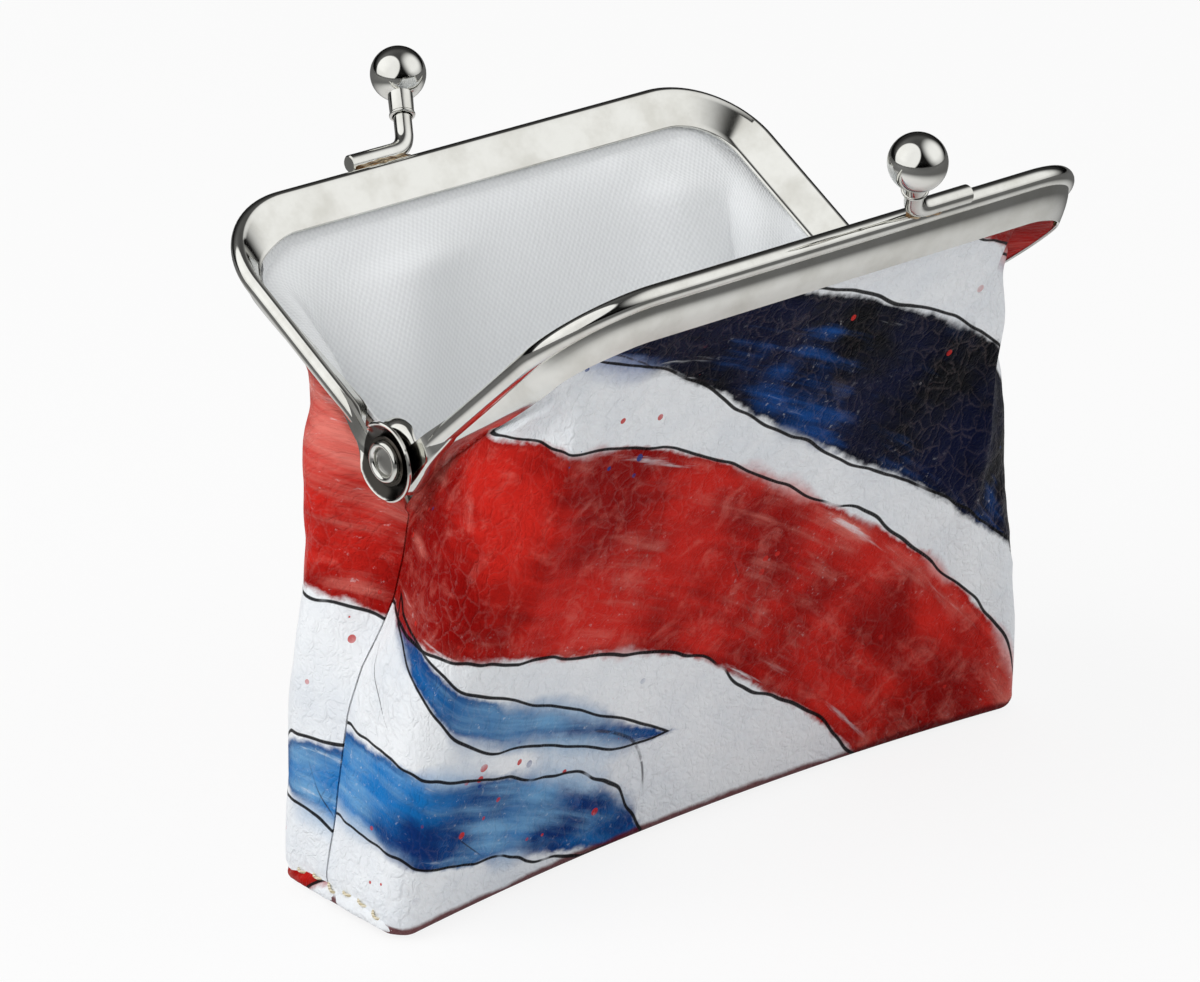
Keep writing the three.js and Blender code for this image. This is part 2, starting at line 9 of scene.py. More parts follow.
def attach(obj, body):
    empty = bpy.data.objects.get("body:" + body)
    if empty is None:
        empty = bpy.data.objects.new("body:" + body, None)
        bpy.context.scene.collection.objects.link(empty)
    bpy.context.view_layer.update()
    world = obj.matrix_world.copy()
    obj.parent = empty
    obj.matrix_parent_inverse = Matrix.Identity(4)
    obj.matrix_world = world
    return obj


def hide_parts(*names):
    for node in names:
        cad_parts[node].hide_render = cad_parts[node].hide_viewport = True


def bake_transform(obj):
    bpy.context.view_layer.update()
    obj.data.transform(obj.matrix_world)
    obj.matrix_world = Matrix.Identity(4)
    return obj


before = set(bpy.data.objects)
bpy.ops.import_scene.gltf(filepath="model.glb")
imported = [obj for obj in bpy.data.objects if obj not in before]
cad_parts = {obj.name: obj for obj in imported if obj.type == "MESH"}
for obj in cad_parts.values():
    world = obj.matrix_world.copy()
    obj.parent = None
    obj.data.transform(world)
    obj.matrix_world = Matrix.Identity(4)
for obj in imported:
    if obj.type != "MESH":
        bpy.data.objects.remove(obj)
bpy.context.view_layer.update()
scene = bpy.context.scene
MM = 0.001

# Sizes of the solids, in millimetres
FRONT_LEAN = 47.5
BACK_LEAN = 61.5
HINGE_HEIGHT = 56
HALF = 42.5
REACH = 43
CORNER = 12.5
SHEET = 0.5
ROLL = 1.25
BAR_DEPTH = 5.7
ARM_DEPTH = 3
WIDE_WALL = 2.2
WIDE_WALL_RISE = 0.35
WIDE_WALL_START, WIDE_WALL_FULL = 6, 13
BAR_THICKNESS = 5.2
EAR_THICKNESS = 3.6
BAR_LIP_RISE = 2
EAR_LIP_RISE = 0.6
CLOSING_FACE = 0.2
EAR_RADIUS = 4.7
INNER_EAR_RADIUS = 4.5
EAR_FLANGE = (0.5, 1.3)
EAR_HOLE = 1.9
ARM_START = 5.3
ARM_END = REACH - CORNER
FLAT_FROM, FLAT_TO, FLAT_END = 9.5, 4.4, 11.5
PLATE_SUNK = 0.1
OUTER_FOOT, INNER_FOOT = 4.0, 4.6
WALL_SWELL = 0.45
OUTER_EAR = 42.7
RIVET_INNER = 41.8
RIVET_OUTER = 43.7
RIVET_HEAD = 0.6
RIVET_HEAD_RADIUS = 2.62
RIVET_SHANK = 1.75
RIVET_BORE_DEPTH = 0.95
RIVET_RING = 1.72
WASHER_FACE = 43.3
WASHER_THICKNESS = 0.3
WASHER_RADIUS = 3.1
BALL_RADIUS = 3.55
BALL_OFFSET = 3.65
BALL_RISE = 11.1
BALL_CROSSING = 1.2
ROD = 1.15
ROD_LEG = 9
ROD_BEND = 2.2
ROD_LEAN = 4.7
BRAZE_GAP = 0.25
SOCKET_DEPTH = 2.4
SOCKET_CLEARANCE = 0.15
COLLAR = 1.6
COLLAR_LENGTH = 2.9
COLLAR_WAIST = 0.06
COLLAR_BEAD = 0.26
ROD_CHAMFER = 0.16
BASE_HALF = 52.2
BASE_HALF_DEPTH = 11.4
BASE_FORWARD = 1.1
BASE_CORNER = 3.2
BASE_BOW = 2.2
BASE_UNDER_ARM = 24
BASE_UNDER_CORNER = 8
BASE_EDGE = 1.6
SEAM_END = 4
SEAM_GAP = 0.3
SEAM_BEHIND = 1.5
LEATHER = 0.7
LINING = 0.35
LINING_INSET = 2
LAYER_GAP = 0.25
CHANNEL_CLEARANCE = 0.3
LIP_CLEARANCE = 0.4
EDGE_INSET = 3.6
SIDE_SWELL = 5
FRONT_SWELL = 10
SIDE_RISE = 110
FRONT_RISE = 60
BAR_PULL = 20
CORNER_PULL = 26
EAR_PULL = -9
EAR_FOLD = 18
SEAM_PULL = 8
HINGE_DROP = 1.6
HINGE_INSET = 0.6


def lerp(a, b, t):
    return a + (b - a) * t


def smooth(x, low, high):
    t = np.clip((x - low) / (high - low), 0, 1)
    return t * t * (3 - 2 * t)


# Meshes


WELD = 1e-7
SLIVER = 1e-8


def stood(mesh, material, sharp, welded):
    """A mesh's object, facing out, smooth but for edges sharper than the angle given."""
    work = bmesh.new()
    work.from_mesh(mesh)
    if welded:
        bmesh.ops.remove_doubles(work, verts=work.verts, dist=WELD)
        bmesh.ops.dissolve_degenerate(work, edges=work.edges, dist=SLIVER)
    bmesh.ops.recalc_face_normals(work, faces=work.faces)
    work.to_mesh(mesh)
    work.free()
    mesh.polygons.foreach_set("use_smooth", [True] * len(mesh.polygons))
    mesh.set_sharp_from_angle(angle=math.radians(sharp))
    mesh.materials.append(material)
    made = bpy.data.objects.new(mesh.name, mesh)
    scene.collection.objects.link(made)
    return made


def make(name, parts, material, sharp=40):
    """An object from parts, each of points in millimetres and faces."""
    mesh = bpy.data.meshes.new(name)
    points, faces = [], []
    for part_points, part_faces in parts:
        start = len(points)
        points.extend((np.asarray(part_points, float) * MM).tolist())
        faces.extend([tuple(start + i for i in f) for f in part_faces])
    mesh.from_pydata(points, [], faces)
    return stood(mesh, material, sharp, True)


def loft(rings, closed=False):
    """Points and faces of a skin over rings of points, capped at both ends unless it closes on itself."""
    rings = np.asarray(rings, float)
    count, size = rings.shape[:2]
    faces = []
    for r in range(count if closed else count - 1):
        a, b = r * size, ((r + 1) % count) * size
        for i in range(size):
            j = (i + 1) % size
            faces.append((a + i, a + j, b + j, b + i))
    if not closed:
        faces.append(tuple(range(size))[::-1])
        faces.append(tuple(range((count - 1) * size, count * size)))
    return rings.reshape(-1, 3), faces


def turned(profile, facets=72):
    """A turned solid about +Z from [radius, height] pairs, closed, or running from the axis to the axis."""
    profile = np.asarray(profile, float)
    rings = []
    for i in range(facets):
        turn = 2 * math.pi * i / facets
        rings.append(
            np.stack([profile[:, 0] * math.cos(turn), profile[:, 0] * math.sin(turn), profile[:, 1]], 1)
        )
    return loft(rings, closed=True)


HINGE_FACETS = 64


def on_hinge(profile, side):
    """A solid turned about the hinge axis, heights running out from the middle."""
    points, faces = turned(profile, HINGE_FACETS)
    return np.stack([side * points[:, 2], points[:, 1], points[:, 0] + HINGE_HEIGHT], 1), faces


def arc(centre, radius, start, end, steps):
    """Points of an arc in a section, angles in degrees."""
    turns = np.radians(np.linspace(start, end, steps + 1))
    return [(centre[0] + radius * math.cos(t), centre[1] + radius * math.sin(t)) for t in turns]


def tube(path, radius, facets=28, chamfer=0.0):
    """A round bar along points, with chamfered ends."""
    path = np.asarray(path, float)
    ways = np.gradient(path, axis=0)
    ways /= np.linalg.norm(ways, axis=1)[:, None]
    across = np.cross(ways[0], (0.0, 0.0, 1.0))
    if np.linalg.norm(across) < 1e-6:
        across = np.cross(ways[0], (0.0, 1.0, 0.0))
    rings = []
    turns = np.linspace(0, 2 * math.pi, facets, endpoint=False)
    for i, (p, way) in enumerate(zip(path, ways)):
        across = across - way * (across @ way)
        across /= np.linalg.norm(across)
        other = np.cross(way, across)
        ring = p + radius * (np.cos(turns)[:, None] * across + np.sin(turns)[:, None] * other)
        if chamfer and i in (0, len(path) - 1):
            inward = way * chamfer * (1 if i == 0 else -1)
            small = p + (ring - p) * (1 - chamfer / radius)
            rings.extend([small, ring + inward] if i == 0 else [ring + inward, small])
        else:
            rings.append(ring)
    return loft(rings)


# A frame in its own place: x along the bar, z up from the hinge axis, y outwards from the closing plane


def stations(start, arm, corner, bar):
    left = [(-HALF, lerp(start, ARM_END, i / arm), math.pi) for i in range(arm)]
    for i in range(corner):
        turn = math.pi - i / corner * math.pi / 2
        left.append((CORNER - HALF + CORNER * math.cos(turn), ARM_END + CORNER * math.sin(turn), turn))
    left += [(lerp(CORNER - HALF, 0, i / bar), REACH, math.pi / 2) for i in range(bar)]
    right = [(-x, z, math.pi - turn) for x, z, turn in reversed(left)]
    found = []
    for x, z, turn in [*left, (0, REACH, math.pi / 2), *right]:
        found.append(
            {
                "x": x,
                "z": z,
                "out": (math.cos(turn), math.sin(turn)),
                "depth": lerp(ARM_DEPTH, BAR_DEPTH, smooth(math.sin(turn), 0, 1)),
                "taper": float(smooth(z, ARM_START, ARM_END)),
            }
        )
    return found


def in_channel(station, inset, across):
    out = station["out"]
    return np.array([station["x"] - inset * out[0], across, station["z"] - inset * out[1]])


def leather_across(station, inset):
    thickness = lerp(EAR_THICKNESS, BAR_THICKNESS, station["taper"])
    down = max(0, inset - ROLL) / (station["depth"] - ROLL)
    return CLOSING_FACE + lerp(2 * ROLL, thickness, down) - SHEET - CHANNEL_CLEARANCE


def leaned(points, lean, front):
    """Stands a frame's points in the purse: back frame as it is, front frame turned half round."""
    points = np.asarray(points, float)
    sin, cos = math.sin(math.radians(lean)), math.cos(math.radians(lean))
    x, y, z = points[..., 0], points[..., 1], points[..., 2]
    turn = -1 if front else 1
    return np.stack([turn * x, turn * (z * sin + y * cos), HINGE_HEIGHT + z * cos - y * sin], -1)


OUTER_FACE_POINTS = 7 + 7 + 23 + 7 + 7
NECK_IN = 0.3
STEP_OUT = OUTER_EAR - (HALF - SHEET)


def channel_section(station):
    """The channel's section as (inset, across): outer wall, spine, inner wall, and back inside."""
    depth, taper = station["depth"], station["taper"]
    centre = CLOSING_FACE + ROLL
    outer_lip = CLOSING_FACE + lerp(EAR_THICKNESS, BAR_THICKNESS, taper)
    half = SHEET / 2
    shares = np.linspace(0, 1, 9)[1:-1]
    inner_depth, inner_rise = depth, lerp(EAR_LIP_RISE, BAR_LIP_RISE, taper)
    if station["x"] > 0:
        on_arm = (BAR_DEPTH - depth) / (BAR_DEPTH - ARM_DEPTH)
        off_ear = float(smooth(station["z"], WIDE_WALL_START, WIDE_WALL_FULL))
        inner_depth += WIDE_WALL * on_arm * off_ear
        inner_rise = lerp(EAR_LIP_RISE, BAR_LIP_RISE + WIDE_WALL_RISE * on_arm, off_ear)
    inner_lip = CLOSING_FACE + inner_rise

    def wall(lip, sign, face):
        """Points down a wall's face, from the spine to the lip. The outer wall swells."""
        found = []
        for t in shares:
            inset = lerp(ROLL, (depth if sign > 0 else inner_depth) - half, t)
            straight = lerp(centre + sign * ROLL, lip, t)
            swell = WALL_SWELL * math.sin(math.pi * t**0.7) * taper if sign > 0 else 0
            found.append((inset, straight + swell - sign * face))
        return found

    # Outer face first, then the inner one: the flattened arm sorts them by this order
    outer_end = arc((depth - half, outer_lip - half), half, -90, 90, 6)
    inner_end = arc((inner_depth - half, inner_lip + half), half, -90, 90, 6)
    spine_out = arc((ROLL, centre), ROLL, 90, 270, 22)
    spine_in = arc((ROLL, centre), ROLL - SHEET, 270, 90, 10)
    return [
        *outer_end,
        *reversed(wall(outer_lip, 1, 0)),
        *spine_out,
        *wall(inner_lip, -1, 0),
        *inner_end,
        *reversed(wall(inner_lip, -1, SHEET)),
        *spine_in,
        *wall(outer_lip, 1, SHEET),
    ]


def flattened(z):
    """How flat the arm of an outer ear is, at a distance from the hinge."""
    return 1 - float(smooth(z, FLAT_TO, FLAT_FROM))


def stepped(z):
    """How far an outer ear's plate stands out from its arm's spine, at a distance from the hinge."""
    return STEP_OUT * flattened(z)


def channel():
    """The pressed channel. The arm of the outer ear flattens and steps out to it."""
    rings = []

    def add(station, flat=0.0, step=0.0):
        ring = []
        for i, (inset, across) in enumerate(channel_section(station)):
            plate = 0 if i < OUTER_FACE_POINTS else SHEET
            across -= NECK_IN * flat * (across - CLOSING_FACE)
            ring.append(in_channel(station, lerp(inset, plate, flat) - step, across))
        rings.append(ring)

    run = stations(ARM_START, 22, 22, 12)
    first, last = run[0], run[-1]
    for z in np.linspace(OUTER_FOOT, ARM_START, 6)[:-1]:
        add({**first, "z": z}, flattened(z), stepped(z) - PLATE_SUNK)
    for station in run:
        outer = station["x"] < 0 and station["z"] < FLAT_END
        flat = flattened(station["z"]) if outer else 0
        sunk = PLATE_SUNK * (1 - float(smooth(station["z"], 5.5, 9)))
        add(station, flat, stepped(station["z"]) - sunk if outer else 0)
    for z in np.linspace(ARM_START, INNER_FOOT, 4)[1:]:
        add({**last, "z": z})
    return loft(rings)


def pressed(line, half):
    """The outline of sheet metal along a line in a section, with rounded ends."""
    line = np.asarray(line, float)
    ways = np.gradient(line, axis=0)
    ways /= np.linalg.norm(ways, axis=1)[:, None]
    beside = np.stack([-ways[:, 1], ways[:, 0]], 1) * half
    tip, way, out = line[-1], ways[-1] * half, beside[-1]
    end = [tip + way * math.cos(t) - out * math.sin(t) for t in np.radians((50, 0, -50))]
    return [*(line - beside), *end, *reversed(line + beside)]


WEB = (2.4, 12.5)
WEB_TURN = math.degrees(math.atan2(*WEB))
WEB_FILLET = 6.0
WEB_BEND = 0.7
WEB_SWEEP = 80
EAR_RIM = 0.85
EAR_RIM_POWER = 1.6


def ear_edge(turn, radius, necked):
    """How far an ear's edge lies from the hinge, at an angle from its arm: its web, then its disc."""
    if turn <= 1.0:
        return radius
    if turn <= WEB_TURN:
        return WEB[1] / math.cos(math.radians(turn))
    if not necked:
        tangent = WEB_TURN + math.degrees(math.acos(radius / math.hypot(*WEB)))
        return radius / math.cos(math.radians(max(0, tangent - turn)))
    side = WEB[0] + WEB_FILLET
    centre = np.array([side, math.sqrt((radius + WEB_FILLET) ** 2 - side**2)])
    if turn >= math.degrees(math.atan2(*centre)):
        return radius
    way = np.array([math.sin(math.radians(turn)), math.cos(math.radians(turn))])
    if way[1] / way[0] * WEB[0] >= centre[1]:
        return WEB[0] / way[0]
    near = way @ centre
    return near - math.sqrt(max(0, near**2 - centre @ centre + WEB_FILLET**2))


def ear(side, outer):
    """A hinge ear with a web that runs into its arm: one dished, the other flanged inwards."""
    half = SHEET / 2
    radius = EAR_RADIUS if outer else INNER_EAR_RADIUS
    turns = [1.0, 1.7, *np.linspace(3, WEB_TURN, 8), *np.linspace(WEB_TURN, WEB_SWEEP, 52)[1:]]
    turns += list(np.linspace(WEB_SWEEP, 361, 88)[1:-1])
    rings = []
    for turn in turns:
        edge = ear_edge(turn, radius, outer)
        grown = smooth(turn, 22, 62) if outer else smooth(turn, 15, 45)
        free = float(grown * (1 - smooth(turn, 330, 356)))
        if outer:
            face = OUTER_EAR + half
            rise = edge - WASHER_RADIUS
            line = [(r, face) for r in np.linspace(EAR_HOLE, WASHER_RADIUS, 6)]
            for t in np.linspace(0, 1, 14)[1:]:
                line.append((WASHER_RADIUS + rise * t, face + EAR_RIM * free * t**EAR_RIM_POWER))
        else:
            face = HALF - half
            fold = lerp(*EAR_FLANGE, free)
            line = [(r, face) for r in np.linspace(EAR_HOLE, edge - fold, 12)]
            line += [(edge - fold + r, face - h) for r, h in arc((0, fold), fold, -90, -6, 9)[1:]]
        y, z = math.sin(math.radians(turn)), math.cos(math.radians(turn))
        ring = []
        for r, x in pressed(line, half):
            away = max(0.0, r * z)
            x -= WEB_BEND * float(smooth(away, 7.0, WEB[1]))
            if outer:
                x -= STEP_OUT - stepped(away) if turn < WEB_SWEEP else 0
            ring.append((side * x, r * y, r * z))
        rings.append(ring)
    return loft(rings, closed=True)


def place(parts, lean, front):
    return [(leaned(points, lean, front), faces) for points, faces in parts]


# Clasp, on the left of its frame
BALL_CENTRE = np.array([-BALL_OFFSET, -BALL_CROSSING, REACH + BALL_RISE])
ELBOW = np.array([-BALL_OFFSET - ROD_LEAN, CLOSING_FACE + ROLL, REACH + BRAZE_GAP + ROD])
POST_WAY = (BALL_CENTRE - ELBOW) / np.linalg.norm(BALL_CENTRE - ELBOW)


def clasp_post():
    leg = np.array([-1.0, 0, 0])
    start, end = ELBOW + leg * ROD_BEND, ELBOW + POST_WAY * ROD_BEND
    tip = BALL_CENTRE + POST_WAY * (SOCKET_DEPTH - BALL_RADIUS - SOCKET_CLEARANCE)
    path = [lerp(ELBOW + leg * ROD_LEG, start, t) for t in np.linspace(0, 1, 8)]
    for t in np.linspace(0, 1, 18)[1:]:
        path.append((1 - t) ** 2 * start + 2 * t * (1 - t) * ELBOW + t * t * end)
    path += [lerp(end, tip, t) for t in np.linspace(0, 1, 8)[1:]]
    return tube(path, ROD, chamfer=ROD_CHAMFER)


def clasp_ball():
    neck = 180 - math.degrees(math.asin(COLLAR / BALL_RADIUS))
    turns = np.radians(np.linspace(0, neck, 44))
    profile = [(BALL_RADIUS * math.sin(t), BALL_RADIUS * math.cos(t)) for t in turns]
    collar_end = -BALL_RADIUS - COLLAR_LENGTH
    socket = ROD + SOCKET_CLEARANCE
    bead = arc((COLLAR - 0.2, collar_end + 0.34), COLLAR_BEAD, 70, -90, 8)
    profile += [(COLLAR - COLLAR_WAIST, collar_end + 0.8), *bead, (socket, collar_end + 0.08)]
    profile += [(socket, SOCKET_DEPTH - BALL_RADIUS), (0, SOCKET_DEPTH - BALL_RADIUS)]
    points, faces = turned(profile, 80)
    turn = Vector((0, 0, 1)).rotation_difference(Vector(POST_WAY)).to_matrix()
    return points @ np.array(turn).T + BALL_CENTRE, faces


BRAZE_WIDTH = 1.08
BRAZE_HEIGHT = 0.62
BRAZE_DROOP = 0.22


def braze():
    """The bead of braze under the leg of a clasp post."""
    rings = []
    end = ELBOW[0] - ROD_LEG
    for t in np.linspace(0, 1, 40):
        x = lerp(end + 0.25, ELBOW[0] - 0.3, t)
        swell = 0.82 + 0.18 * math.sin(9.0 * t + 0.6) * math.sin(23.0 * t)
        fade = math.sin(math.pi * min(1, max(0, 0.04 + 0.92 * t))) ** 0.35
        width = BRAZE_WIDTH * swell * fade
        ring = []
        for turn in np.linspace(0, 2 * math.pi, 20, endpoint=False):
            y, z = math.cos(turn) * width, math.sin(turn) * BRAZE_HEIGHT * fade
            droop = BRAZE_DROOP * (y / BRAZE_WIDTH) ** 2
            ring.append((x, CLOSING_FACE + ROLL + y, REACH + 0.05 + z - droop))
        rings.append(ring)
    return loft(rings)


CORD_RADIUS = 0.5


def cord():
    """The paper cord that wedges the sheets in a channel, up to where the arm flattens to the outer ear."""
    run = [s for s in stations(ARM_START + SHEET, 22, 22, 12) if s["x"] > 0 or s["z"] > FLAT_END]
    return tube([in_channel(s, ROLL, CLOSING_FACE + ROLL) for s in run], CORD_RADIUS, 14, 0.1)


# Hinge rivets and washers


ROLL_LIFT = 0.06
HEAD_EDGE = 0.3
WASHER_BEVEL = 0.08


def rivet(side):
    inner, bore_end = RIVET_INNER - RIVET_HEAD, RIVET_OUTER + RIVET_HEAD - RIVET_BORE_DEPTH
    ring_mid, ring_half = (RIVET_HEAD_RADIUS + RIVET_RING) / 2, (RIVET_HEAD_RADIUS - RIVET_RING) / 2
    lift = (RIVET_HEAD - ROLL_LIFT) / ring_half
    roll = arc((ring_mid, RIVET_OUTER), ring_half, 0, 180, 16)
    roll = [(r, RIVET_OUTER + ROLL_LIFT + (h - RIVET_OUTER) * lift) for r, h in roll]
    head = arc((RIVET_HEAD_RADIUS - HEAD_EDGE, inner + HEAD_EDGE), HEAD_EDGE, -90, 0, 5)
    profile = [(0, inner), *head, (RIVET_HEAD_RADIUS, RIVET_INNER), (RIVET_SHANK, RIVET_INNER)]
    profile += [(RIVET_SHANK, RIVET_OUTER), (RIVET_HEAD_RADIUS, RIVET_OUTER), *roll]
    profile += [(RIVET_RING, bore_end + 0.3), (RIVET_RING - 0.12, bore_end + 0.12)]
    profile += [(RIVET_RING - 0.4, bore_end), (0, bore_end - 0.04)]
    return on_hinge(profile, side)


def washer(side):
    low, high, rim = WASHER_FACE, WASHER_FACE + WASHER_THICKNESS, WASHER_RADIUS - WASHER_BEVEL
    profile = [(EAR_HOLE, low), (rim, low), (WASHER_RADIUS, low + WASHER_BEVEL)]
    profile += [(WASHER_RADIUS, high - WASHER_BEVEL), (rim, high), (EAR_HOLE, high)]
    return on_hinge(profile, side)


# Bag: grids of points that run from the base seam over the base's edge and up into the channel.
# y is positive here for both sides
FINE = 6
ARM_STEPS, CORNER_STEPS, BAR_STEPS = 8, 4, 3


def upper_edge(lean):
    """For each column: where the leather enters the channel and ends, its way in, and the lining's gap."""

    def stand(p):
        return leaned(p, lean, False)

    def way_of(p):
        return leaned(p, lean, False) - np.array([0, 0, HINGE_HEIGHT])

    columns = []
    for s in stations(ARM_START + SHEET, ARM_STEPS * FINE, CORNER_STEPS * FINE, BAR_STEPS * FINE):
        mouth_inset = s["depth"] + LIP_CLEARANCE
        end_inset = min(EDGE_INSET, s["depth"] - SHEET)
        corner = lerp(BAR_PULL, CORNER_PULL, float(smooth(abs(s["x"]), 0, HALF - CORNER)))
        pull = lerp(EAR_PULL, corner, s["taper"])
        way = way_of(np.array([s["out"][0] * pull, EAR_FOLD * (s["taper"] - 1), s["out"][1] * pull]))
        mouth = stand(in_channel(s, mouth_inset, leather_across(s, mouth_inset)))
        end = stand(in_channel(s, end_inset, leather_across(s, end_inset)))
        columns.append([mouth, end, way, LEATHER + LAYER_GAP])
    hang = HINGE_HEIGHT - EAR_RADIUS - HINGE_DROP - SHEET
    top = np.array([-(RIVET_INNER - RIVET_HEAD - HINGE_INSET), SEAM_GAP / 2, hang])
    seam = [top, top + (0, 0, SHEET), np.array([0.0, 0, SEAM_PULL]), LINING_INSET]
    first = columns[0]
    lead = [[lerp(a, b, i / FINE) for a, b in zip(seam, first)] for i in range(FINE)]
    flip = np.array([-1.0, 1, 1])
    tail = [[m * flip, e * flip, w * flip, gap] for m, e, w, gap in reversed(lead)]
    return [np.array(part) for part in zip(*lead, *columns, *tail)]


def base_outline(inset, seam_depth, front):
    """Place, way out and seam place on the base below each column."""
    forward = BASE_FORWARD if front else 0
    half, depth, corner = BASE_HALF - inset, BASE_HALF_DEPTH + forward - inset, BASE_CORNER - inset
    flank = depth - corner - seam_depth
    bend = corner * math.pi / 2
    edge = half - corner
    whole = flank + bend + edge
    walks = [BASE_UNDER_ARM * i / (ARM_STEPS + 1) / FINE for i in range((ARM_STEPS + 1) * FINE)]
    corner_walk = range(CORNER_STEPS * FINE)
    walks += [BASE_UNDER_ARM + BASE_UNDER_CORNER * i / CORNER_STEPS / FINE for i in corner_walk]
    start = BASE_UNDER_ARM + BASE_UNDER_CORNER
    walks += [lerp(start, whole, i / BAR_STEPS / FINE) for i in range(BAR_STEPS * FINE + 1)]
    left = []
    for walk in walks:
        if walk <= flank:
            x, y, turn = half, seam_depth + walk, 0
        elif walk >= flank + bend:
            x, turn = whole - walk, math.pi / 2
            y = depth - (BASE_BOW + forward) * (1 - (x / edge) ** 2)
        else:
            turn = (walk - flank) / corner
            x, y = half - corner + corner * math.cos(turn), depth - corner + corner * math.sin(turn)
        left.append((-x, y, -math.cos(turn), math.sin(turn), -lerp(half - SEAM_END, 0, walk / whole)))
    right = [(-x, y, -ox, oy, -sx) for x, y, ox, oy, sx in reversed(left[:-1])]
    return np.array(left + right)


def base_rows(base, inset, seam_depth):
    place, out = base[:, :2], base[:, 2:4]
    rows = []
    edge = place - BASE_EDGE * out
    seam = np.stack([base[:, 4], np.full(len(base), seam_depth)], 1)
    for share in np.linspace(0, 1, 9):
        rows.append(np.column_stack([lerp(seam, edge, share), np.full(len(base), inset)]))
    for turn in np.radians(np.linspace(0, 90, 7)[1:]):
        flat = place - BASE_EDGE * (1 - math.sin(turn)) * out
        rows.append(np.column_stack([flat, np.full(len(base), inset + BASE_EDGE * (1 - math.cos(turn)))]))
    return rows


CLIMBS = np.concatenate(
    [np.linspace(0, 0.1, 14), np.linspace(0.1, 0.9, 44)[1:], np.linspace(0.9, 1, 11)[1:]]
)
FLAT_ROWS = 9
FOOT_ROW = 14
CHANNEL_ROWS = 3


def hermite(start, start_pull, end, end_pull, t):
    t2, t3 = t * t, t * t * t
    leaving = (2 * t3 - 3 * t2 + 1) * start + (t3 - 2 * t2 + t) * start_pull
    return leaving + (3 * t2 - 2 * t3) * end + (t3 - t2) * end_pull


def inward_ways(grid):
    """The way from each point of a sheet into the bag."""
    along = np.gradient(grid, axis=1)
    up = np.gradient(grid, axis=0)
    way = np.cross(along, up)
    way[:, [0, -1], 1] = 0
    way[:FLAT_ROWS] = (0, 0, 1)
    length = np.linalg.norm(way, axis=2, keepdims=True)
    return np.where(length < 1e-9, np.array([0, 0, 1.0]), way / np.maximum(length, 1e-9))


def leather_grid(upper, seam_depth, forward):
    mouth, end, way = upper[:3]
    base = base_outline(0, seam_depth, forward)
    rows = base_rows(base, 0, seam_depth)
    foot = rows.pop()
    side, front = base[:, 2:3], base[:, 3:4]
    rise = lerp(FRONT_RISE, SIDE_RISE, side * side)
    pull = np.concatenate([SIDE_SWELL * side, FRONT_SWELL * front, rise], 1)
    climbs = [hermite(foot, pull, mouth, way, t) for t in CLIMBS]
    tucked = [lerp(mouth, end, i / CHANNEL_ROWS) for i in range(1, CHANNEL_ROWS + 1)]
    return np.array([*rows, *climbs, *tucked])


def lining_grid(upper, leather, seam_depth, front):
    spacing = upper[3]
    rows = base_rows(base_outline(LINING_INSET, seam_depth, front), LINING_INSET, seam_depth)
    inward = inward_ways(leather)
    first = len(rows) - 1
    for r in range(first + 1, len(leather)):
        i = r - first
        climb = CLIMBS[i] if i < len(CLIMBS) else 1
        gap = lerp(LINING_INSET, spacing, climb * climb)
        rows.append(leather[r] + inward[r] * gap[:, None])
    return np.array(rows)


def bell(x, middle, spread):
    return np.exp(-(((x - middle) / spread) ** 2))


RIPPLES = 26


def ripples(across, up, shortest, longest, seed, stretch=1.0):
    """Soft random folds of about unit height, with wavelengths between the two given, in millimetres."""
    random = np.random.default_rng(seed)
    total = np.zeros_like(across)
    for _ in range(RIPPLES):
        length = random.uniform(shortest, longest)
        turn, phase = random.uniform(0, math.pi), random.uniform(0, 2 * math.pi)
        along = across * math.cos(turn) + up * math.sin(turn) / stretch
        total += np.cos(2 * math.pi / length * along + phase)
    return total / math.sqrt(RIPPLES / 2)


# How far out the side seams stand at heights above the table: pinched under the hinges, full lower down
SEAM_HEIGHTS = (0, 1.6, 5.5, 13.9, 24.7, 30, 34, 38, 43, 49.2)
SEAM_REACHES = (52.0, 52.0, 51.5, 50.6, 49.0, 47.0, 44.4, 42.3, 41.2, 40.6)
CORNER_SEAM = 2.7
CORNER_SEAM_END = 11.8
CORNER_SEAM_DIP = 0.7


def corner_seam(y):
    """Height of the seam that boxes a corner, which runs down to the base at both ends."""
    rise = CORNER_SEAM * np.sqrt(np.maximum(0, 1 - (y / CORNER_SEAM_END) ** 2))
    return rise - CORNER_SEAM_DIP * bell(y, 0, 1.5)


def climb_of_rows(grid):
    climbs = np.ones(len(grid))
    climbs[:FOOT_ROW] = 0
    climbs[FOOT_ROW : FOOT_ROW + len(CLIMBS)] = CLIMBS
    return climbs[:, None]


def lengths(grid, axis):
    """How far each point lies along its column (axis 0) or its row (axis 1) from the start."""
    steps = np.linalg.norm(np.diff(grid, axis=axis), axis=2)
    return np.cumsum(np.insert(steps, 0, 0, axis), axis)


def from_seams(grid):
    """How far each point lies along its row from the left seam and from the right seam."""
    left = lengths(grid, 1)
    return left, left[:, -1:] - left


def flat_places(grid):
    """Where each point lay on the cut sheet: across from the middle column, and up from the base's edge."""
    across, up = lengths(grid, 1), lengths(grid, 0)
    return np.stack([across - across[:, [grid.shape[1] // 2]], up - up[[FOOT_ROW]]], 2)


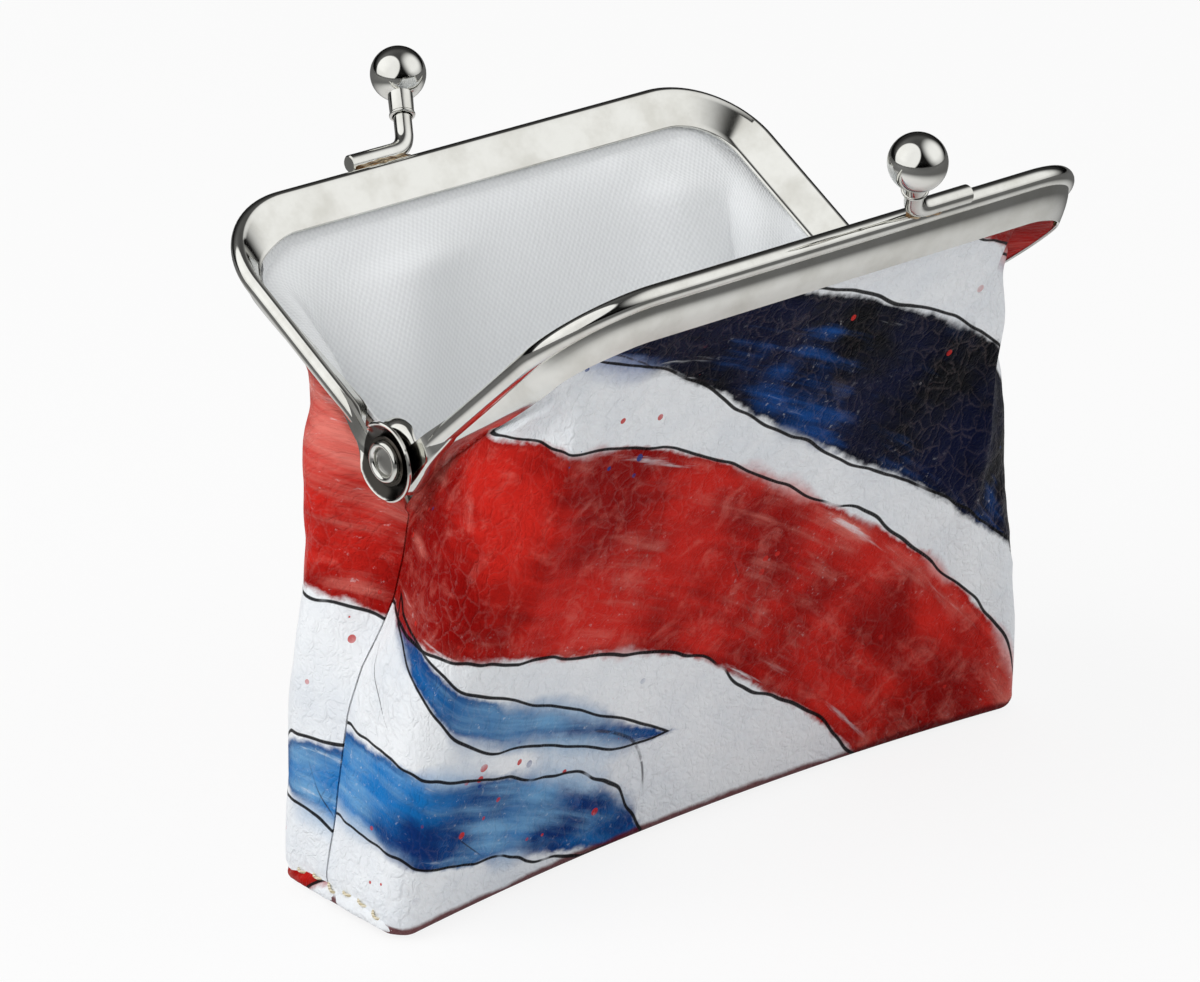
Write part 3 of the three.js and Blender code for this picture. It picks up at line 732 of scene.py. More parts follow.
# How the leather departs from a taut sheet: heights in millimetres, then the middle and spread of each bell
SEAM_SPREADS = {True: 15, False: 9}
HINGE_SWELLS = {True: (0.3, 0.5), False: (2.9, 0.5)}
SWELL_AWAY, SWELL_HEIGHT = (15, 9), (53, 8)
SEAM_CLEAR = 5
VALLEY, VALLEY_WIDTH = 0.6, 1.8
DRAWN_CORNER = (4.6, 0.95, 0.06), (2.4, 0.83, 0.1)
DRAWN_SIDE = 0.9, 0.33, 0.14
DRAWN_WAY = np.array([-0.72, -0.69, 0])
SHOULDER, SHOULDER_AWAY, SHOULDER_CLIMB = 1.2, (26, 9), (0.92, 0.06)
HOLLOW, HOLLOW_AWAY, HOLLOW_HEIGHT = 0.9, (12, 10), (20, 12)
DENTS, DENT_LENGTHS = 0.2, (13, 36)
PUCKERS, PUCKER_LENGTHS = 0.06, (4, 8)
PLEATS, PLEAT_LENGTHS, PLEAT_STRETCH = 0.16, (4, 9), 6.0
BOX_SEAM, BOX_SEAM_WIDTH = 0.5, 0.7


def settled(grid, front):
    """Gives the smooth leather its seam valleys, swelling by the hinges, drawn corner and small dents."""
    grid = grid.copy()
    climb = climb_of_rows(grid)
    flat = flat_places(grid)
    left, right = from_seams(grid)
    height = grid[..., 2]
    for away, side, column in ((left, -1, 0), (right, 1, -1)):
        reach = np.abs(grid[:, column, 0])
        wanted = np.interp(grid[:, column, 2], SEAM_HEIGHTS, SEAM_REACHES)
        drawn = np.where(climb[:, 0] > 0, reach - wanted, 0)[:, None]
        grid[..., 0] -= side * drawn * bell(away, 0, SEAM_SPREADS[front])
    out = -inward_ways(grid)
    by_mouth = 1 - smooth(climb, 0.9, 1)
    off_seam = smooth(left, 0, SEAM_CLEAR) * smooth(right, 0, SEAM_CLEAR)
    lift = np.zeros(grid.shape[:2])
    for away, swell in zip((left, right), HINGE_SWELLS[front]):
        lift += swell * bell(away, *SWELL_AWAY) * bell(height, *SWELL_HEIGHT) * by_mouth * off_seam
        lift -= VALLEY * bell(away, 0, VALLEY_WIDTH) * smooth(climb, 0.02, 0.1) * by_mouth
    if front:
        past = np.arange(grid.shape[1])[None, :] - grid.shape[1] // 2 - BAR_STEPS * FINE
        corner = smooth(past, -0.5 * FINE, 2.6 * FINE) * (1 - smooth(past, 8 * FINE, 13 * FINE))
        pulled = sum(pull * bell(climb, *place) for pull, *place in DRAWN_CORNER)
        pulled = pulled * (1 - smooth(climb, 0.972, 1)) + DRAWN_SIDE[0] * bell(climb, *DRAWN_SIDE[1:])
        grid += (corner * pulled)[..., None] * DRAWN_WAY
        shoulder = bell(left, *SHOULDER_AWAY) * bell(climb, *SHOULDER_CLIMB)
        lift += SHOULDER * shoulder * (1 - smooth(climb, 0.96, 1))
    else:
        lift -= HOLLOW * bell(left, *HOLLOW_AWAY) * bell(height, *HOLLOW_HEIGHT) * off_seam
    free = smooth(climb, 0.02, 0.2) * by_mouth * off_seam
    seed = 3 if front else 8
    across, up = flat[..., 0], flat[..., 1]
    lift += DENTS * ripples(across, up, *DENT_LENGTHS, seed) * free
    lift += PUCKERS * ripples(across, up, *PUCKER_LENGTHS, seed + 1) * free
    pleats = ripples(across, up, *PLEAT_LENGTHS, seed + 2, PLEAT_STRETCH)
    lift += PLEATS * pleats * bell(climb, 0.93, 0.06) * (1 - smooth(climb, 0.97, 1)) * off_seam
    at_side = smooth(np.abs(grid[..., 0]), 50.0, 51.0)
    lift -= BOX_SEAM * at_side * bell(height, corner_seam(grid[..., 1]), BOX_SEAM_WIDTH)
    return grid + out * lift[..., None]


# How the lining hangs: rounds of easing, its random folds, the folds by the seams, and the broad ones
EASE_ROUNDS = 150
EASE_SHARE = 0.5
SOFT_FOLDS, SOFT_LENGTHS, SOFT_STRETCH = 0.35, (16, 44), 1.7
SOFT_SEEDS = {True: 21, False: 34}
LEFT_FOLDS = (27, 3.6), (40, 6.0)
LEFT_FOLD, RIGHT_FOLD = 2.0, 1.9
LEFT_BROAD, LEFT_BROAD_DRIFT = (2.3, -18, 7), 28
RIGHT_BROAD = 2.0, 28, 6
ARM_ROLL, ARM_GROOVE = (1.1, 0.945, 0.025), (0.8, 0.875, 0.03)


def relaxed(grid, leather, front):
    """Lets the lining hang looser than the leather: rounder in the corners, with soft folds."""
    grid = grid.copy()
    climb = climb_of_rows(grid)
    loose = (smooth(climb, 0.0, 0.08) * (1 - smooth(climb, 0.9, 0.985)))[..., None]
    loose = loose * np.ones((1, grid.shape[1], 1))
    loose[:, [0, -1]] = 0
    inward = inward_ways(leather)
    climbing = np.broadcast_to(climb > 0.02, grid.shape[:2])

    def eased(grid, rounds):
        for _ in range(rounds):
            mean = grid.copy()
            mean[1:-1, 1:-1] = (grid[:-2, 1:-1] + grid[2:, 1:-1] + grid[1:-1, :-2] + grid[1:-1, 2:]) / 4
            grid = grid + (mean - grid) * loose * EASE_SHARE
        return grid

    def kept_inside(grid):
        gap = ((grid - leather) * inward).sum(2)
        return grid + inward * np.where(climbing, np.maximum(0, LEATHER + LAYER_GAP - gap), 0)[..., None]

    grid = eased(grid, EASE_ROUNDS)
    flat = flat_places(grid)
    soft = ripples(flat[..., 0], flat[..., 1], *SOFT_LENGTHS, SOFT_SEEDS[front], SOFT_STRETCH)
    folds = SOFT_FOLDS * np.maximum(soft + 0.4, -0.2)
    left, right = from_seams(grid)
    for place in LEFT_FOLDS:
        folds += LEFT_FOLD * bell(left + 7 * climb, *place) * smooth(climb, 0.2, 0.5)
    folds += RIGHT_FOLD * bell(right - 16 * climb, 11, 4.5) * smooth(climb, 0.2, 0.5)
    grid = grid + inward_ways(grid) * folds[..., None] * loose
    for _ in range(3):
        grid = kept_inside(eased(grid, 14))
    grid = eased(grid, 6)
    across = -grid[..., 0] if front else grid[..., 0]
    fold, middle, width = LEFT_BROAD
    broad = fold * bell(across, middle + LEFT_BROAD_DRIFT * (climb - 0.8), width)
    broad += RIGHT_BROAD[0] * bell(across, *RIGHT_BROAD[1:])
    broad *= smooth(climb, 0.3, 0.55) * (1 - smooth(climb, 0.84, 0.94))
    grid = grid + inward_ways(grid) * broad[..., None]
    if not front:
        column = np.arange(grid.shape[1])[None, :]
        by_arm = smooth(column, 8, 18) * (1 - smooth(column, 46, 62))
        roll = ARM_ROLL[0] * bell(climb, *ARM_ROLL[1:]) - ARM_GROOVE[0] * bell(climb, *ARM_GROOVE[1:])
        grid = grid + inward_ways(grid) * (by_arm * roll)[..., None]
    return grid


def grid_faces(rows, cols):
    """Faces of a closed sheet: one layer of points, the layer under it, and the rim between them."""
    layer = rows * cols
    faces = []
    for r in range(rows - 1):
        for c in range(cols - 1):
            a = r * cols + c
            faces.append((a, a + cols, a + cols + 1, a + 1))
            faces.append((layer + a, layer + a + 1, layer + a + cols + 1, layer + a + cols))
    rim = list(range(cols - 1))
    rim += [r * cols + cols - 1 for r in range(rows - 1)]
    rim += [(rows - 1) * cols + c for c in range(cols - 1, 0, -1)]
    rim += [r * cols for r in range(rows - 1, 0, -1)]
    for a, b in zip(rim, rim[1:] + rim[:1]):
        faces.append((a, b, layer + b, layer + a))
    return faces


SHEET_SHARP = 60


def sheet_object(name, grid, inner, flat, material):
    """A closed sheet's object. Each point keeps its place on the flat cut as an attribute."""
    points = np.concatenate([grid.reshape(-1, 3), inner.reshape(-1, 3)])
    mesh = bpy.data.meshes.new(name)
    mesh.from_pydata((points * MM).tolist(), [], grid_faces(*grid.shape[:2]))
    flat = np.concatenate([flat.reshape(-1, 2)] * 2)
    layer = np.repeat([0.0, 1.0], len(flat) // 2)
    places = mesh.attributes.new("cut", "FLOAT_VECTOR", "POINT")
    places.data.foreach_set("vector", np.column_stack([flat, layer]).astype(np.float32).ravel())
    return stood(mesh, material, SHEET_SHARP, False)


def make_sheet(name, grid, flat, thickness, front, material):
    turn = np.array([1, -1 if front else 1, 1])
    inner = grid + inward_ways(grid) * thickness
    return sheet_object(name, grid * turn, inner * turn, flat, material)


# Material nodes


class Value:
    """An output in a node tree, with arithmetic that adds nodes."""

    def __init__(self, tree, socket):
        self.tree, self.socket = tree, socket

    def math(self, operation, *others):
        return add_node(self.tree, "Math", (self, *others), operation=operation)

    def __add__(self, other):
        return self.math("ADD", other)

    def __sub__(self, other):
        return self.math("SUBTRACT", other)

    def __rsub__(self, other):
        return (self * -1.0) + other

    def __mul__(self, other):
        return self.math("MULTIPLY", other)

    __radd__, __rmul__ = __add__, __mul__

    def __truediv__(self, other):
        return self.math("DIVIDE", other)

    def __abs__(self):
        return self.math("ABSOLUTE")

    def power(self, exponent):
        return self.math("POWER", exponent)

    def sine(self):
        return self.math("SINE")

    def most(self, other):
        return self.math("MAXIMUM", other)

    def step(self, low, high):
        """Rises smoothly from 0 at low to 1 at high, or falls if high is lower."""
        return add_node(self.tree, "MapRange", (self, low, high), interpolation_type="SMOOTHSTEP")


def feed(tree, socket, value):
    """Links a value to a socket, or sets it there."""
    if isinstance(value, Value):
        tree.links.new(value.socket, socket)
    else:
        socket.default_value = value


def add_node(tree, kind, inputs=(), output=0, **settings):
    """One output of a new node, with inputs given in order or by their names or numbers."""
    made = tree.nodes.new("ShaderNode" + kind)
    for name, value in settings.items():
        setattr(made, name, value)
    for place, value in inputs.items() if isinstance(inputs, dict) else enumerate(inputs):
        feed(tree, made.inputs[place], value)
    return Value(tree, made.outputs[output])


class Nodes:
    """A material's node tree with its Principled shader."""

    def __init__(self, name):
        self.material = bpy.data.materials.new(name)
        self.material.use_nodes = True
        self.tree = self.material.node_tree
        self.shader = self.tree.nodes["Principled BSDF"]

    def set(self, **inputs):
        for name, value in inputs.items():
            value = (*value, 1) if isinstance(value, tuple) else value
            feed(self.tree, self.shader.inputs[name.replace("_", " ")], value)

    def attribute(self, name):
        return add_node(self.tree, "Attribute", (), "Vector", attribute_name=name)

    def coordinates(self):
        """Object coordinates in millimetres."""
        return self.scaled(add_node(self.tree, "TexCoord", (), "Object"), (1000, 1000, 1000))

    def scaled(self, vector, by):
        return add_node(self.tree, "VectorMath", (vector, by), operation="MULTIPLY")

    def split(self, vector):
        first = add_node(self.tree, "SeparateXYZ", (vector,))
        return [Value(self.tree, out) for out in first.socket.node.outputs]

    def joined(self, *parts):
        return add_node(self.tree, "CombineXYZ", parts)

    def noise(self, vector, scale, detail=2.0, roughness=0.5, distortion=0.0):
        inputs = {"Vector": vector, "Scale": scale, "Detail": detail}
        inputs |= {"Roughness": roughness, "Distortion": distortion}
        return add_node(self.tree, "TexNoise", inputs, "Fac")

    def cells(self, vector, scale, feature="F1"):
        """Voronoi cells: distance, and a random colour for each cell."""
        inputs = {"Vector": vector, "Scale": scale}
        found = add_node(self.tree, "TexVoronoi", inputs, "Distance", feature=feature).socket.node.outputs
        return [Value(self.tree, out) for out in found if out.name in ("Distance", "Color")]

    def mix(self, share, a, b):
        a, b = ((*c, 1) if isinstance(c, tuple) else c for c in (a, b))
        return add_node(self.tree, "Mix", {0: share, 6: a, 7: b}, 2, data_type="RGBA")

    def bump(self, height, distance, strength=1.0):
        inputs = {"Strength": strength, "Distance": distance, "Height": height}
        return add_node(self.tree, "Bump", inputs)


def srgb(red, green, blue):
    """A colour from its 0 to 255 values on screen."""
    found = []
    for value in (red, green, blue):
        share = value / 255
        found.append(share / 12.92 if share <= 0.04045 else ((share + 0.055) / 1.055) ** 2.4)
    return tuple(found)


# Materials


def nickel_material(name, dark_from=0.0, dark_to=0.0, dark=(srgb(40, 34, 29), 0.16)):
    """Bright nickel with faint wipe marks and specks, with painted shade, darker and rougher, inside a
    radius of the hinge if given.
    """
    n = Nodes(name)
    at = n.coordinates()
    smudge = n.noise(at, 0.16, 4, 0.6)
    fine = n.noise(n.scaled(at, (0.5, 3.0, 3.0)), 0.9, 5, 0.65)
    wave = n.noise(at, 0.12, 1)
    specks, seed = n.cells(at, 0.16)
    chosen = n.split(seed)[0].math("GREATER_THAN", 0.72)
    speck = specks.step(0.05, 0.02) * chosen
    colour = n.mix(smudge.step(0.35, 0.75), srgb(231, 231, 226), srgb(212, 211, 204))
    colour = n.mix(speck * 0.85, colour, srgb(52, 46, 40))
    rough = smudge.step(0.3, 0.8) * 0.06 + fine.step(0.5, 0.8) * 0.04 + speck * 0.3 + 0.06
    # Painted shade: the colour darkens inside the radius, on the outer side of the hinge where its hollows
    # lie
    if dark_from:
        x, y, z = n.split(at)
        z = z - float(HINGE_HEIGHT)
        radius = (y * y + z * z).power(0.5) + (fine - 0.5) * 0.2
        recess_shade = radius.step(dark_from, dark_to) * abs(x).step(42.5, 42.7)
        colour = n.mix(recess_shade * 0.95, colour, dark[0])
        rough = rough + recess_shade * dark[1]
    n.set(
        Base_Color=colour,
        Metallic=1.0,
        Roughness=rough,
        Normal=n.bump(wave * 0.5 + fine * 0.01 - speck * 0.02, 0.0003, 0.3),
    )
    return n.material


def braze_material():
    n = Nodes("braze")
    at = n.coordinates()
    tint = n.noise(at, 0.5, 4, 0.6)
    n.set(
        Base_Color=n.mix(tint.step(0.35, 0.65), srgb(118, 84, 48), srgb(196, 178, 148)),
        Metallic=1.0,
        Roughness=tint * 0.3 + 0.18,
        Normal=n.bump(n.noise(at, 1.8, 3), 0.0002, 0.5),
    )
    return n.material


def leather_grain(n, cut):
    """Height of the pebbled grain, and how deep in a crease a point lies."""
    drift = n.noise(cut, 0.3, 3, 0.6)
    bent = n.joined(*[part + (drift - 0.5) * k for part, k in zip(n.split(cut), (3.4, -2.6, 0.0))])
    large = n.cells(n.scaled(bent, (1, 0.72, 1)), 0.5, "DISTANCE_TO_EDGE")[0]
    small = n.cells(n.scaled(bent, (1, 0.85, 1)), 1.3, "DISTANCE_TO_EDGE")[0]
    fine = n.noise(cut, 3.4, 3, 0.6)
    deep = n.noise(cut, 0.05, 3).step(0.34, 0.66)
    height = large.step(0.0, 0.2) * (deep * 0.5 + 0.2) + small.step(0.0, 0.3) * 0.34 + fine * 0.22
    return height, large.step(0.07, 0.0) * (deep * 0.8 + 0.15) * fine.step(0.25, 0.6)


# Print: brush strokes along arcs about two points off the cut. Each stroke has the arc's radius, its
# half width, its wash, and the middle and half of its length along the arc, in millimetres
ARC_TURN = 150.0
FINE_ARCS = (30.0, 210.0), [
    (199, 3.0, "blue", -288, 26),
]
BROAD_ARCS = (-74.0, -92.0), [
    (84, 6.0, "red", 190, 95),
    (110, 6.8, "blue", 198, 58),
    (112, 7.0, "navy", 338, 46),
    (145, 13.5, "red", 190, 250),
    (175, 10.5, "navy", 146, 60),
    (177, 8.5, "blue", 312, 64),
    (205, 9.0, "red", 185, 84),
    (196, 5.0, "blue", 92, 40),
    (208, 7.5, "red", 372, 50),
    (232, 9.0, "navy", 150, 120),
    (236, 8.0, "blue", 345, 60),
]
WASHES = {
    "red": (srgb(138, 8, 6), srgb(202, 38, 30), srgb(232, 132, 120)),
    "navy": (srgb(1, 2, 8), srgb(7, 14, 46), srgb(18, 84, 164)),
    "blue": (srgb(8, 46, 108), srgb(22, 116, 190), srgb(122, 174, 216)),
}
SWEEP, WOBBLE = 16.0, 1.6
PEN_DRIFT, PEN_EDGE = 5.0, 0.14
PEN_THIN, PEN_SWELL = 0.04, 0.22
PENCIL_SPACING = 19.0
# The dark red of the painted shadow along the bottom edge of the base
BASE_EDGE_SHADOW = srgb(96, 16, 20)
INK, PENCIL = srgb(12, 11, 14), srgb(40, 36, 42)
CREASE = srgb(204, 182, 178)
BACKING = srgb(214, 208, 198)


def leatherette_material():
    n = Nodes("printed_leatherette")
    cut = n.attribute("cut")
    u, v, layer = n.split(cut)
    sweep = n.noise(cut, 0.014, 1)
    wobble = n.noise(cut, 0.2, 3, 0.6)
    cloud = n.noise(cut, 0.07, 5, 0.62)
    tide = n.noise(cut, 0.042, 3, 0.5)
    patch = n.noise(cut, 0.028, 3, 0.55)
    bleed = n.noise(cut, 0.55, 4, 0.62)
    mottle = n.noise(cut, 0.21, 5, 0.68, 0.6)
    runny = n.noise(cut, 0.034, 2).step(0.5, 0.66)
    colour = n.mix(cloud.step(0.35, 0.75), srgb(240, 243, 246), srgb(226, 231, 237))
    ink = None
    for family, ((centre_u, centre_v), strokes) in enumerate((FINE_ARCS, BROAD_ARCS)):
        away_u, away_v = u - centre_u, v - centre_v
        radius = (away_u * away_u + away_v * away_v).power(0.5)
        along = away_v.math("ARCTAN2", away_u) * ARC_TURN
        drawn = radius + (sweep - 0.5) * SWEEP
        painted = drawn + (wobble - 0.5) * WOBBLE
        streak = n.noise(n.joined(along * 0.04, radius * 0.4, float(family)), 1.0, 5, 0.62)
        for i, (reach, half, kind, middle, length) in enumerate(strokes):
            deep, body, thin = WASHES[kind]
            share = (along - float(middle)) / float(length)
            taper = (1.0 - share * share).most(0.0).power(0.6)
            width = taper * half + (taper - 1.0) * 1.5
            inside = width - abs(painted - float(reach))
            ragged = inside + (bleed - 0.5) * 1.5 + (streak - 0.5) * 1.8
            cover = ragged.step(runny * -3.4 - 0.4, runny * 2.2 + 0.7)
            depth = tide + (cloud - 0.5) * 0.3 + (streak - 0.5) * 0.3
            wash = n.mix(depth.step(0.36, 0.62), body, deep)
            pale = (patch + (streak - 0.5) * 0.4).step(0.5, 0.7)
            wash = n.mix(mottle.step(0.5, 0.72) * 0.3, wash, thin if kind == "red" else body)
            wash = n.mix(pale.most(ragged.step(2.6, 0.2) * runny) * 0.85, wash, thin)
            pooled = ragged.step(1.7, 0.6) * (1.0 - runny)
            wash = n.mix(pooled * 0.5, wash, deep)
            dry = ragged.step(5.0, 0.5).most(taper.step(0.85, 0.45))
            scratch = streak.step(0.62, 0.74) * dry
            colour = n.mix(cover * (1.0 - scratch * 0.85), colour, wash)
            pen = n.noise(n.joined(along * 0.06, 3.7 * i, float(family)), 1.0, 2)
            edge = width - abs(drawn - float(reach))
            lift = n.noise(n.joined(along * 0.11, 9.1 * i, 2.0 + family), 1.0, 1)
            line = abs(edge + (pen - 0.5) * PEN_DRIFT)
            thick = lift * PEN_SWELL + PEN_THIN
            stroke = line.step(thick + PEN_EDGE, thick) * lift.step(0.3, 0.4) * taper.step(0.02, 0.2)
            ink = stroke if ink is None else ink.most(stroke)
    drops, seed = n.cells(n.joined(u, v, 0.0), 0.46)
    seed_r, seed_g, seed_b = n.split(seed)
    spray = n.noise(cut, 0.04, 2).step(0.52, 0.6)
    spatter = drops.math("LESS_THAN", seed_r * seed_r * 0.26 + 0.03)
    spatter = spatter * spray * seed_b.math("GREATER_THAN", 0.4)
    tone = n.mix(seed_g.math("GREATER_THAN", 0.6), srgb(194, 44, 38), srgb(28, 60, 130))
    colour = n.mix(spatter * 0.9, colour, tone)
    worn = n.noise(cut, 0.9, 5, 0.7).step(0.6, 0.68) * patch.step(0.42, 0.6)
    colour = n.mix(worn * 0.3, colour, srgb(238, 236, 238))
    pencil = (u * 0.86 + v * 0.5 + (sweep - 0.5) * 60.0).math("PINGPONG", PENCIL_SPACING)
    pencil = abs(pencil - PENCIL_SPACING / 2)
    pencil = pencil.step(0.16, 0.05) * n.noise(cut, 0.05, 2).step(0.55, 0.62) * bleed.step(0.34, 0.5)
    colour = n.mix(pencil * 0.75, colour, PENCIL)
    # Painted shadow: a dark red band over the base's underside and round its edge, below the foot of each
    # panel
    base_edge_shadow = (v + (cloud - 0.5) * 2.6).step(0.3, -0.5)
    colour = n.mix(base_edge_shadow * 0.92, colour, BASE_EDGE_SHADOW)
    height, crease = leather_grain(n, cut)
    colour = n.mix(crease * 0.08, colour, CREASE)
    colour = n.mix(ink * 0.97, colour, INK)
    backing = layer.math("GREATER_THAN", 0.5)
    n.set(
        Base_Color=n.mix(backing, colour, BACKING),
        Roughness=height * 0.12 + cloud * 0.12 + 0.3,
        Normal=n.bump(height, 0.00032, 0.6),
        Specular_IOR_Level=0.045,
    )
    return n.material


WEAVE = 0.78


def lining_material():
    n = Nodes("white_lining")
    cut = n.attribute("cut")
    u, v, _ = n.split(cut)
    pitch = 2 * math.pi / WEAVE
    weave = (u * pitch).sine() * (v * pitch * 0.8).sine()
    threads = n.noise(n.scaled(cut, (6.0, 1.2, 1.0)), 1.6, 2)
    cloud = n.noise(cut, 0.06, 3)
    n.set(
        Base_Color=n.mix(
            weave.step(-0.8, 0.8) * 0.5 + cloud * 0.5, srgb(227, 229, 231), srgb(244, 246, 247)
        ),
        Roughness=0.72,
        Normal=n.bump(weave * 0.6 + threads * 0.2, 0.00006, 0.6),
        Sheen_Weight=0.15,
        Sheen_Roughness=0.4,
    )
    return n.material


def twisted_material(name, slant, pitch, soft, shades, roughness, bump, sheen):
    """Strands twisted together, as in thread and paper cord."""
    n = Nodes(name)
    x, y, z = n.split(n.coordinates())
    twist = ((x * slant + y + z) * pitch).sine()
    n.set(
        Base_Color=n.mix(twist.step(-soft, soft), *shades),
        Roughness=roughness,
        Normal=n.bump(twist, *bump),
        Sheen_Weight=sheen,
    )
    return n.material


THREAD_SHADES = srgb(196, 182, 148), srgb(238, 228, 202)
PAPER_SHADES = srgb(168, 136, 92), srgb(214, 186, 140)
nickel = nickel_material("bright_nickel")
# Painted shade in the hinge: the outer ear's dish, the whole washer and the rivet's bore are darkened
frame_nickel = nickel_material("frame_nickel", 4.62, 4.42, (srgb(34, 28, 23), 0.14))
washer_nickel = nickel_material("washer_nickel", 4.5, 4.2, (srgb(62, 55, 48), 0.16))
rivet_nickel = nickel_material("rivet_nickel", 1.74, 1.6, (srgb(150, 149, 145), 0.34))
brazing = braze_material()
leatherette = leatherette_material()
lining_cloth = lining_material()
thread = twisted_material("cream_thread", 1.0, 9.0, 0.8, THREAD_SHADES, 0.82, (0.00006, 0.7), 0.2)
paper = twisted_material("paper_cord", 0.8, 5.0, 1.0, PAPER_SHADES, 0.92, (0.0001, 0.6), 0.0)

# Camera, from a fit of the frame's shape in the photograph
TARGET = Vector((-0.01017, 0, 0.04316))
DISTANCE = 0.6792
SENSOR = 36
FOCAL_PIXELS, IMAGE_WIDTH = 5573.6, 1200
AZIMUTH, ELEVATION, ROLLED = (math.radians(a) for a in (41.09, 23.175, 0.657))
level = Vector((-math.sin(AZIMUTH), -math.cos(AZIMUTH), 0))
back = level * math.cos(ELEVATION) + Vector((0, 0, math.sin(ELEVATION)))
right = Vector((math.cos(AZIMUTH), -math.sin(AZIMUTH), 0))
up = back.cross(right)
right_rolled = right * math.cos(ROLLED) + up * math.sin(ROLLED)
up_rolled = up * math.cos(ROLLED) - right * math.sin(ROLLED)
camera = bpy.data.objects.new("camera", bpy.data.cameras.new("camera"))
scene.collection.objects.link(camera)
camera.data.sensor_width = SENSOR
camera.data.lens = SENSOR * FOCAL_PIXELS / IMAGE_WIDTH
camera.matrix_world = Matrix.Translation(TARGET + back * DISTANCE) @ Matrix(
    (right_rolled, up_rolled, back)
).transposed().to_4x4()
scene.camera = camera

# Frames, clasps and hinges
PRESSING_SHARP = 35
for prefix, lean, front in (("front", FRONT_LEAN, True), ("back", BACK_LEAN, False)):
    body = f"{prefix}_frame"
    pressing = place([channel(), ear(-1, True), ear(1, False)], lean, front)
    made = [
        make(f"{prefix}_frame_pressing", pressing, frame_nickel, PRESSING_SHARP),
        make(f"{prefix}_post", place([clasp_post()], lean, front), nickel),
        make(f"{prefix}_ball", place([clasp_ball()], lean, front), nickel),
    ]
    for piece, node in zip(made, ("frame", "clasp_post", "clasp_ball")):
        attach(piece, body)
        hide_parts(f"{prefix}_{node}")
    bead = make(f"{prefix}_braze", place([braze()], lean, front), brazing)
    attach(bead, body)
    wedge = make(f"{prefix}_cord", place([cord()], lean, front), paper)
    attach(wedge, body)
    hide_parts(f"{prefix}_channel_cord")

for name, side in (("left", -1), ("right", 1)):
    for piece, node in (
        (make(f"{name}_rivet", [rivet(side)], rivet_nickel), "rivet"),
        (make(f"{name}_washer", [washer(side)], washer_nickel), "washer"),
    ):
        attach(piece, "bag")
        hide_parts(f"{name}_hinge_{node}")

# Bag
PRINT_JUMP = (-2.0, 2.4)
leathers = {}
for prefix, lean, front in (("front", FRONT_LEAN, True), ("back", BACK_LEAN, False)):
    seam_depth = -SEAM_BEHIND if front else SEAM_BEHIND + SEAM_GAP
    upper = upper_edge(lean)
    taut = leather_grid(upper, seam_depth, front)
    leather = settled(taut, front)
    inner = relaxed(lining_grid(upper, leather, seam_depth, front), leather, front)
    leathers[prefix] = leather * (1, -1 if front else 1, 1)
    flat = flat_places(taut)
    if front:
        print_edge = flat[:, :1, 0]
    else:
        across = print_edge - (flat[..., 0] - flat[:, :1, 0]) + PRINT_JUMP[0]
        flat = np.stack([across, flat[..., 1] + PRINT_JUMP[1]], 2)
    panel = make_sheet(f"{prefix}_leather", leather, flat, LEATHER, front, leatherette)
    lining = make_sheet(f"{prefix}_cloth", inner, flat_places(inner), LINING, front, lining_cloth)
    for piece, node, slot in ((panel, "panel", "leatherette"), (lining, "lining", "lining")):
        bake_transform(piece)
        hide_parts(f"{prefix}_{node}")

FOLD_PRINT = (-8.0, 21.0)
FOLD_PUFF = 0.34
FOLD_THICKNESS = 0.25
FOLD_MIDDLE_DENT = 0.3
FOLD_INSET = 0.4
FOLD_ROWS, FOLD_COLUMNS = 10, 70


def side_reach(side):
    """A function for how far out the leather stands at a side, at the y and z given."""
    outer = np.concatenate([leathers[prefix][2:].reshape(-1, 3) for prefix in ("front", "back")])
    outer = outer[(outer[:, 0] * side > 44) & (outer[:, 2] < 9)]

    def reach(y, z):
        near = (outer[:, 1] - y) ** 2 + (outer[:, 2] - z) ** 2
        chosen = np.argsort(near)[:8]
        weights = 1 / (near[chosen] + 0.02)
        return float((np.abs(outer[chosen, 0]) * weights).sum() / weights.sum())

    return reach


def corner_fold(side, material):
    """The flap that boxes a corner, folded up from the base and sewn along its edge."""
    reach = side_reach(side)
    grid = np.zeros((FOLD_ROWS, FOLD_COLUMNS, 3))
    flat = np.zeros((FOLD_ROWS, FOLD_COLUMNS, 2))
    end = CORNER_SEAM_END - FOLD_INSET
    for c, y in enumerate(np.linspace(-end, end, FOLD_COLUMNS)):
        top = float(corner_seam(y))
        for r, t in enumerate(np.linspace(0, 1, FOLD_ROWS)):
            z = lerp(0.12, max(0.25, top), t)
            puff = FOLD_PUFF * (1 - (2 * t - 1) ** 4) * (1 - abs(y / CORNER_SEAM_END) ** 6)
            puff -= FOLD_MIDDLE_DENT * math.exp(-((y / 0.7) ** 2))
            grid[r, c] = (reach(y, z) - 0.1 + puff + 0.12 * math.sin(y * 1.3) * t, y, z)
            flat[r, c] = (FOLD_PRINT[0] + y, FOLD_PRINT[1] + z)
    grid[..., 0] *= side
    inner = grid - np.array([side * FOLD_THICKNESS, 0, 0])
    name = "left_corner_fold" if side < 0 else "right_corner_fold"
    return sheet_object(name, grid, inner, flat, material)


STITCH = 1.5
STITCH_SPACING = 2.9
STITCH_RADIUS = 0.18


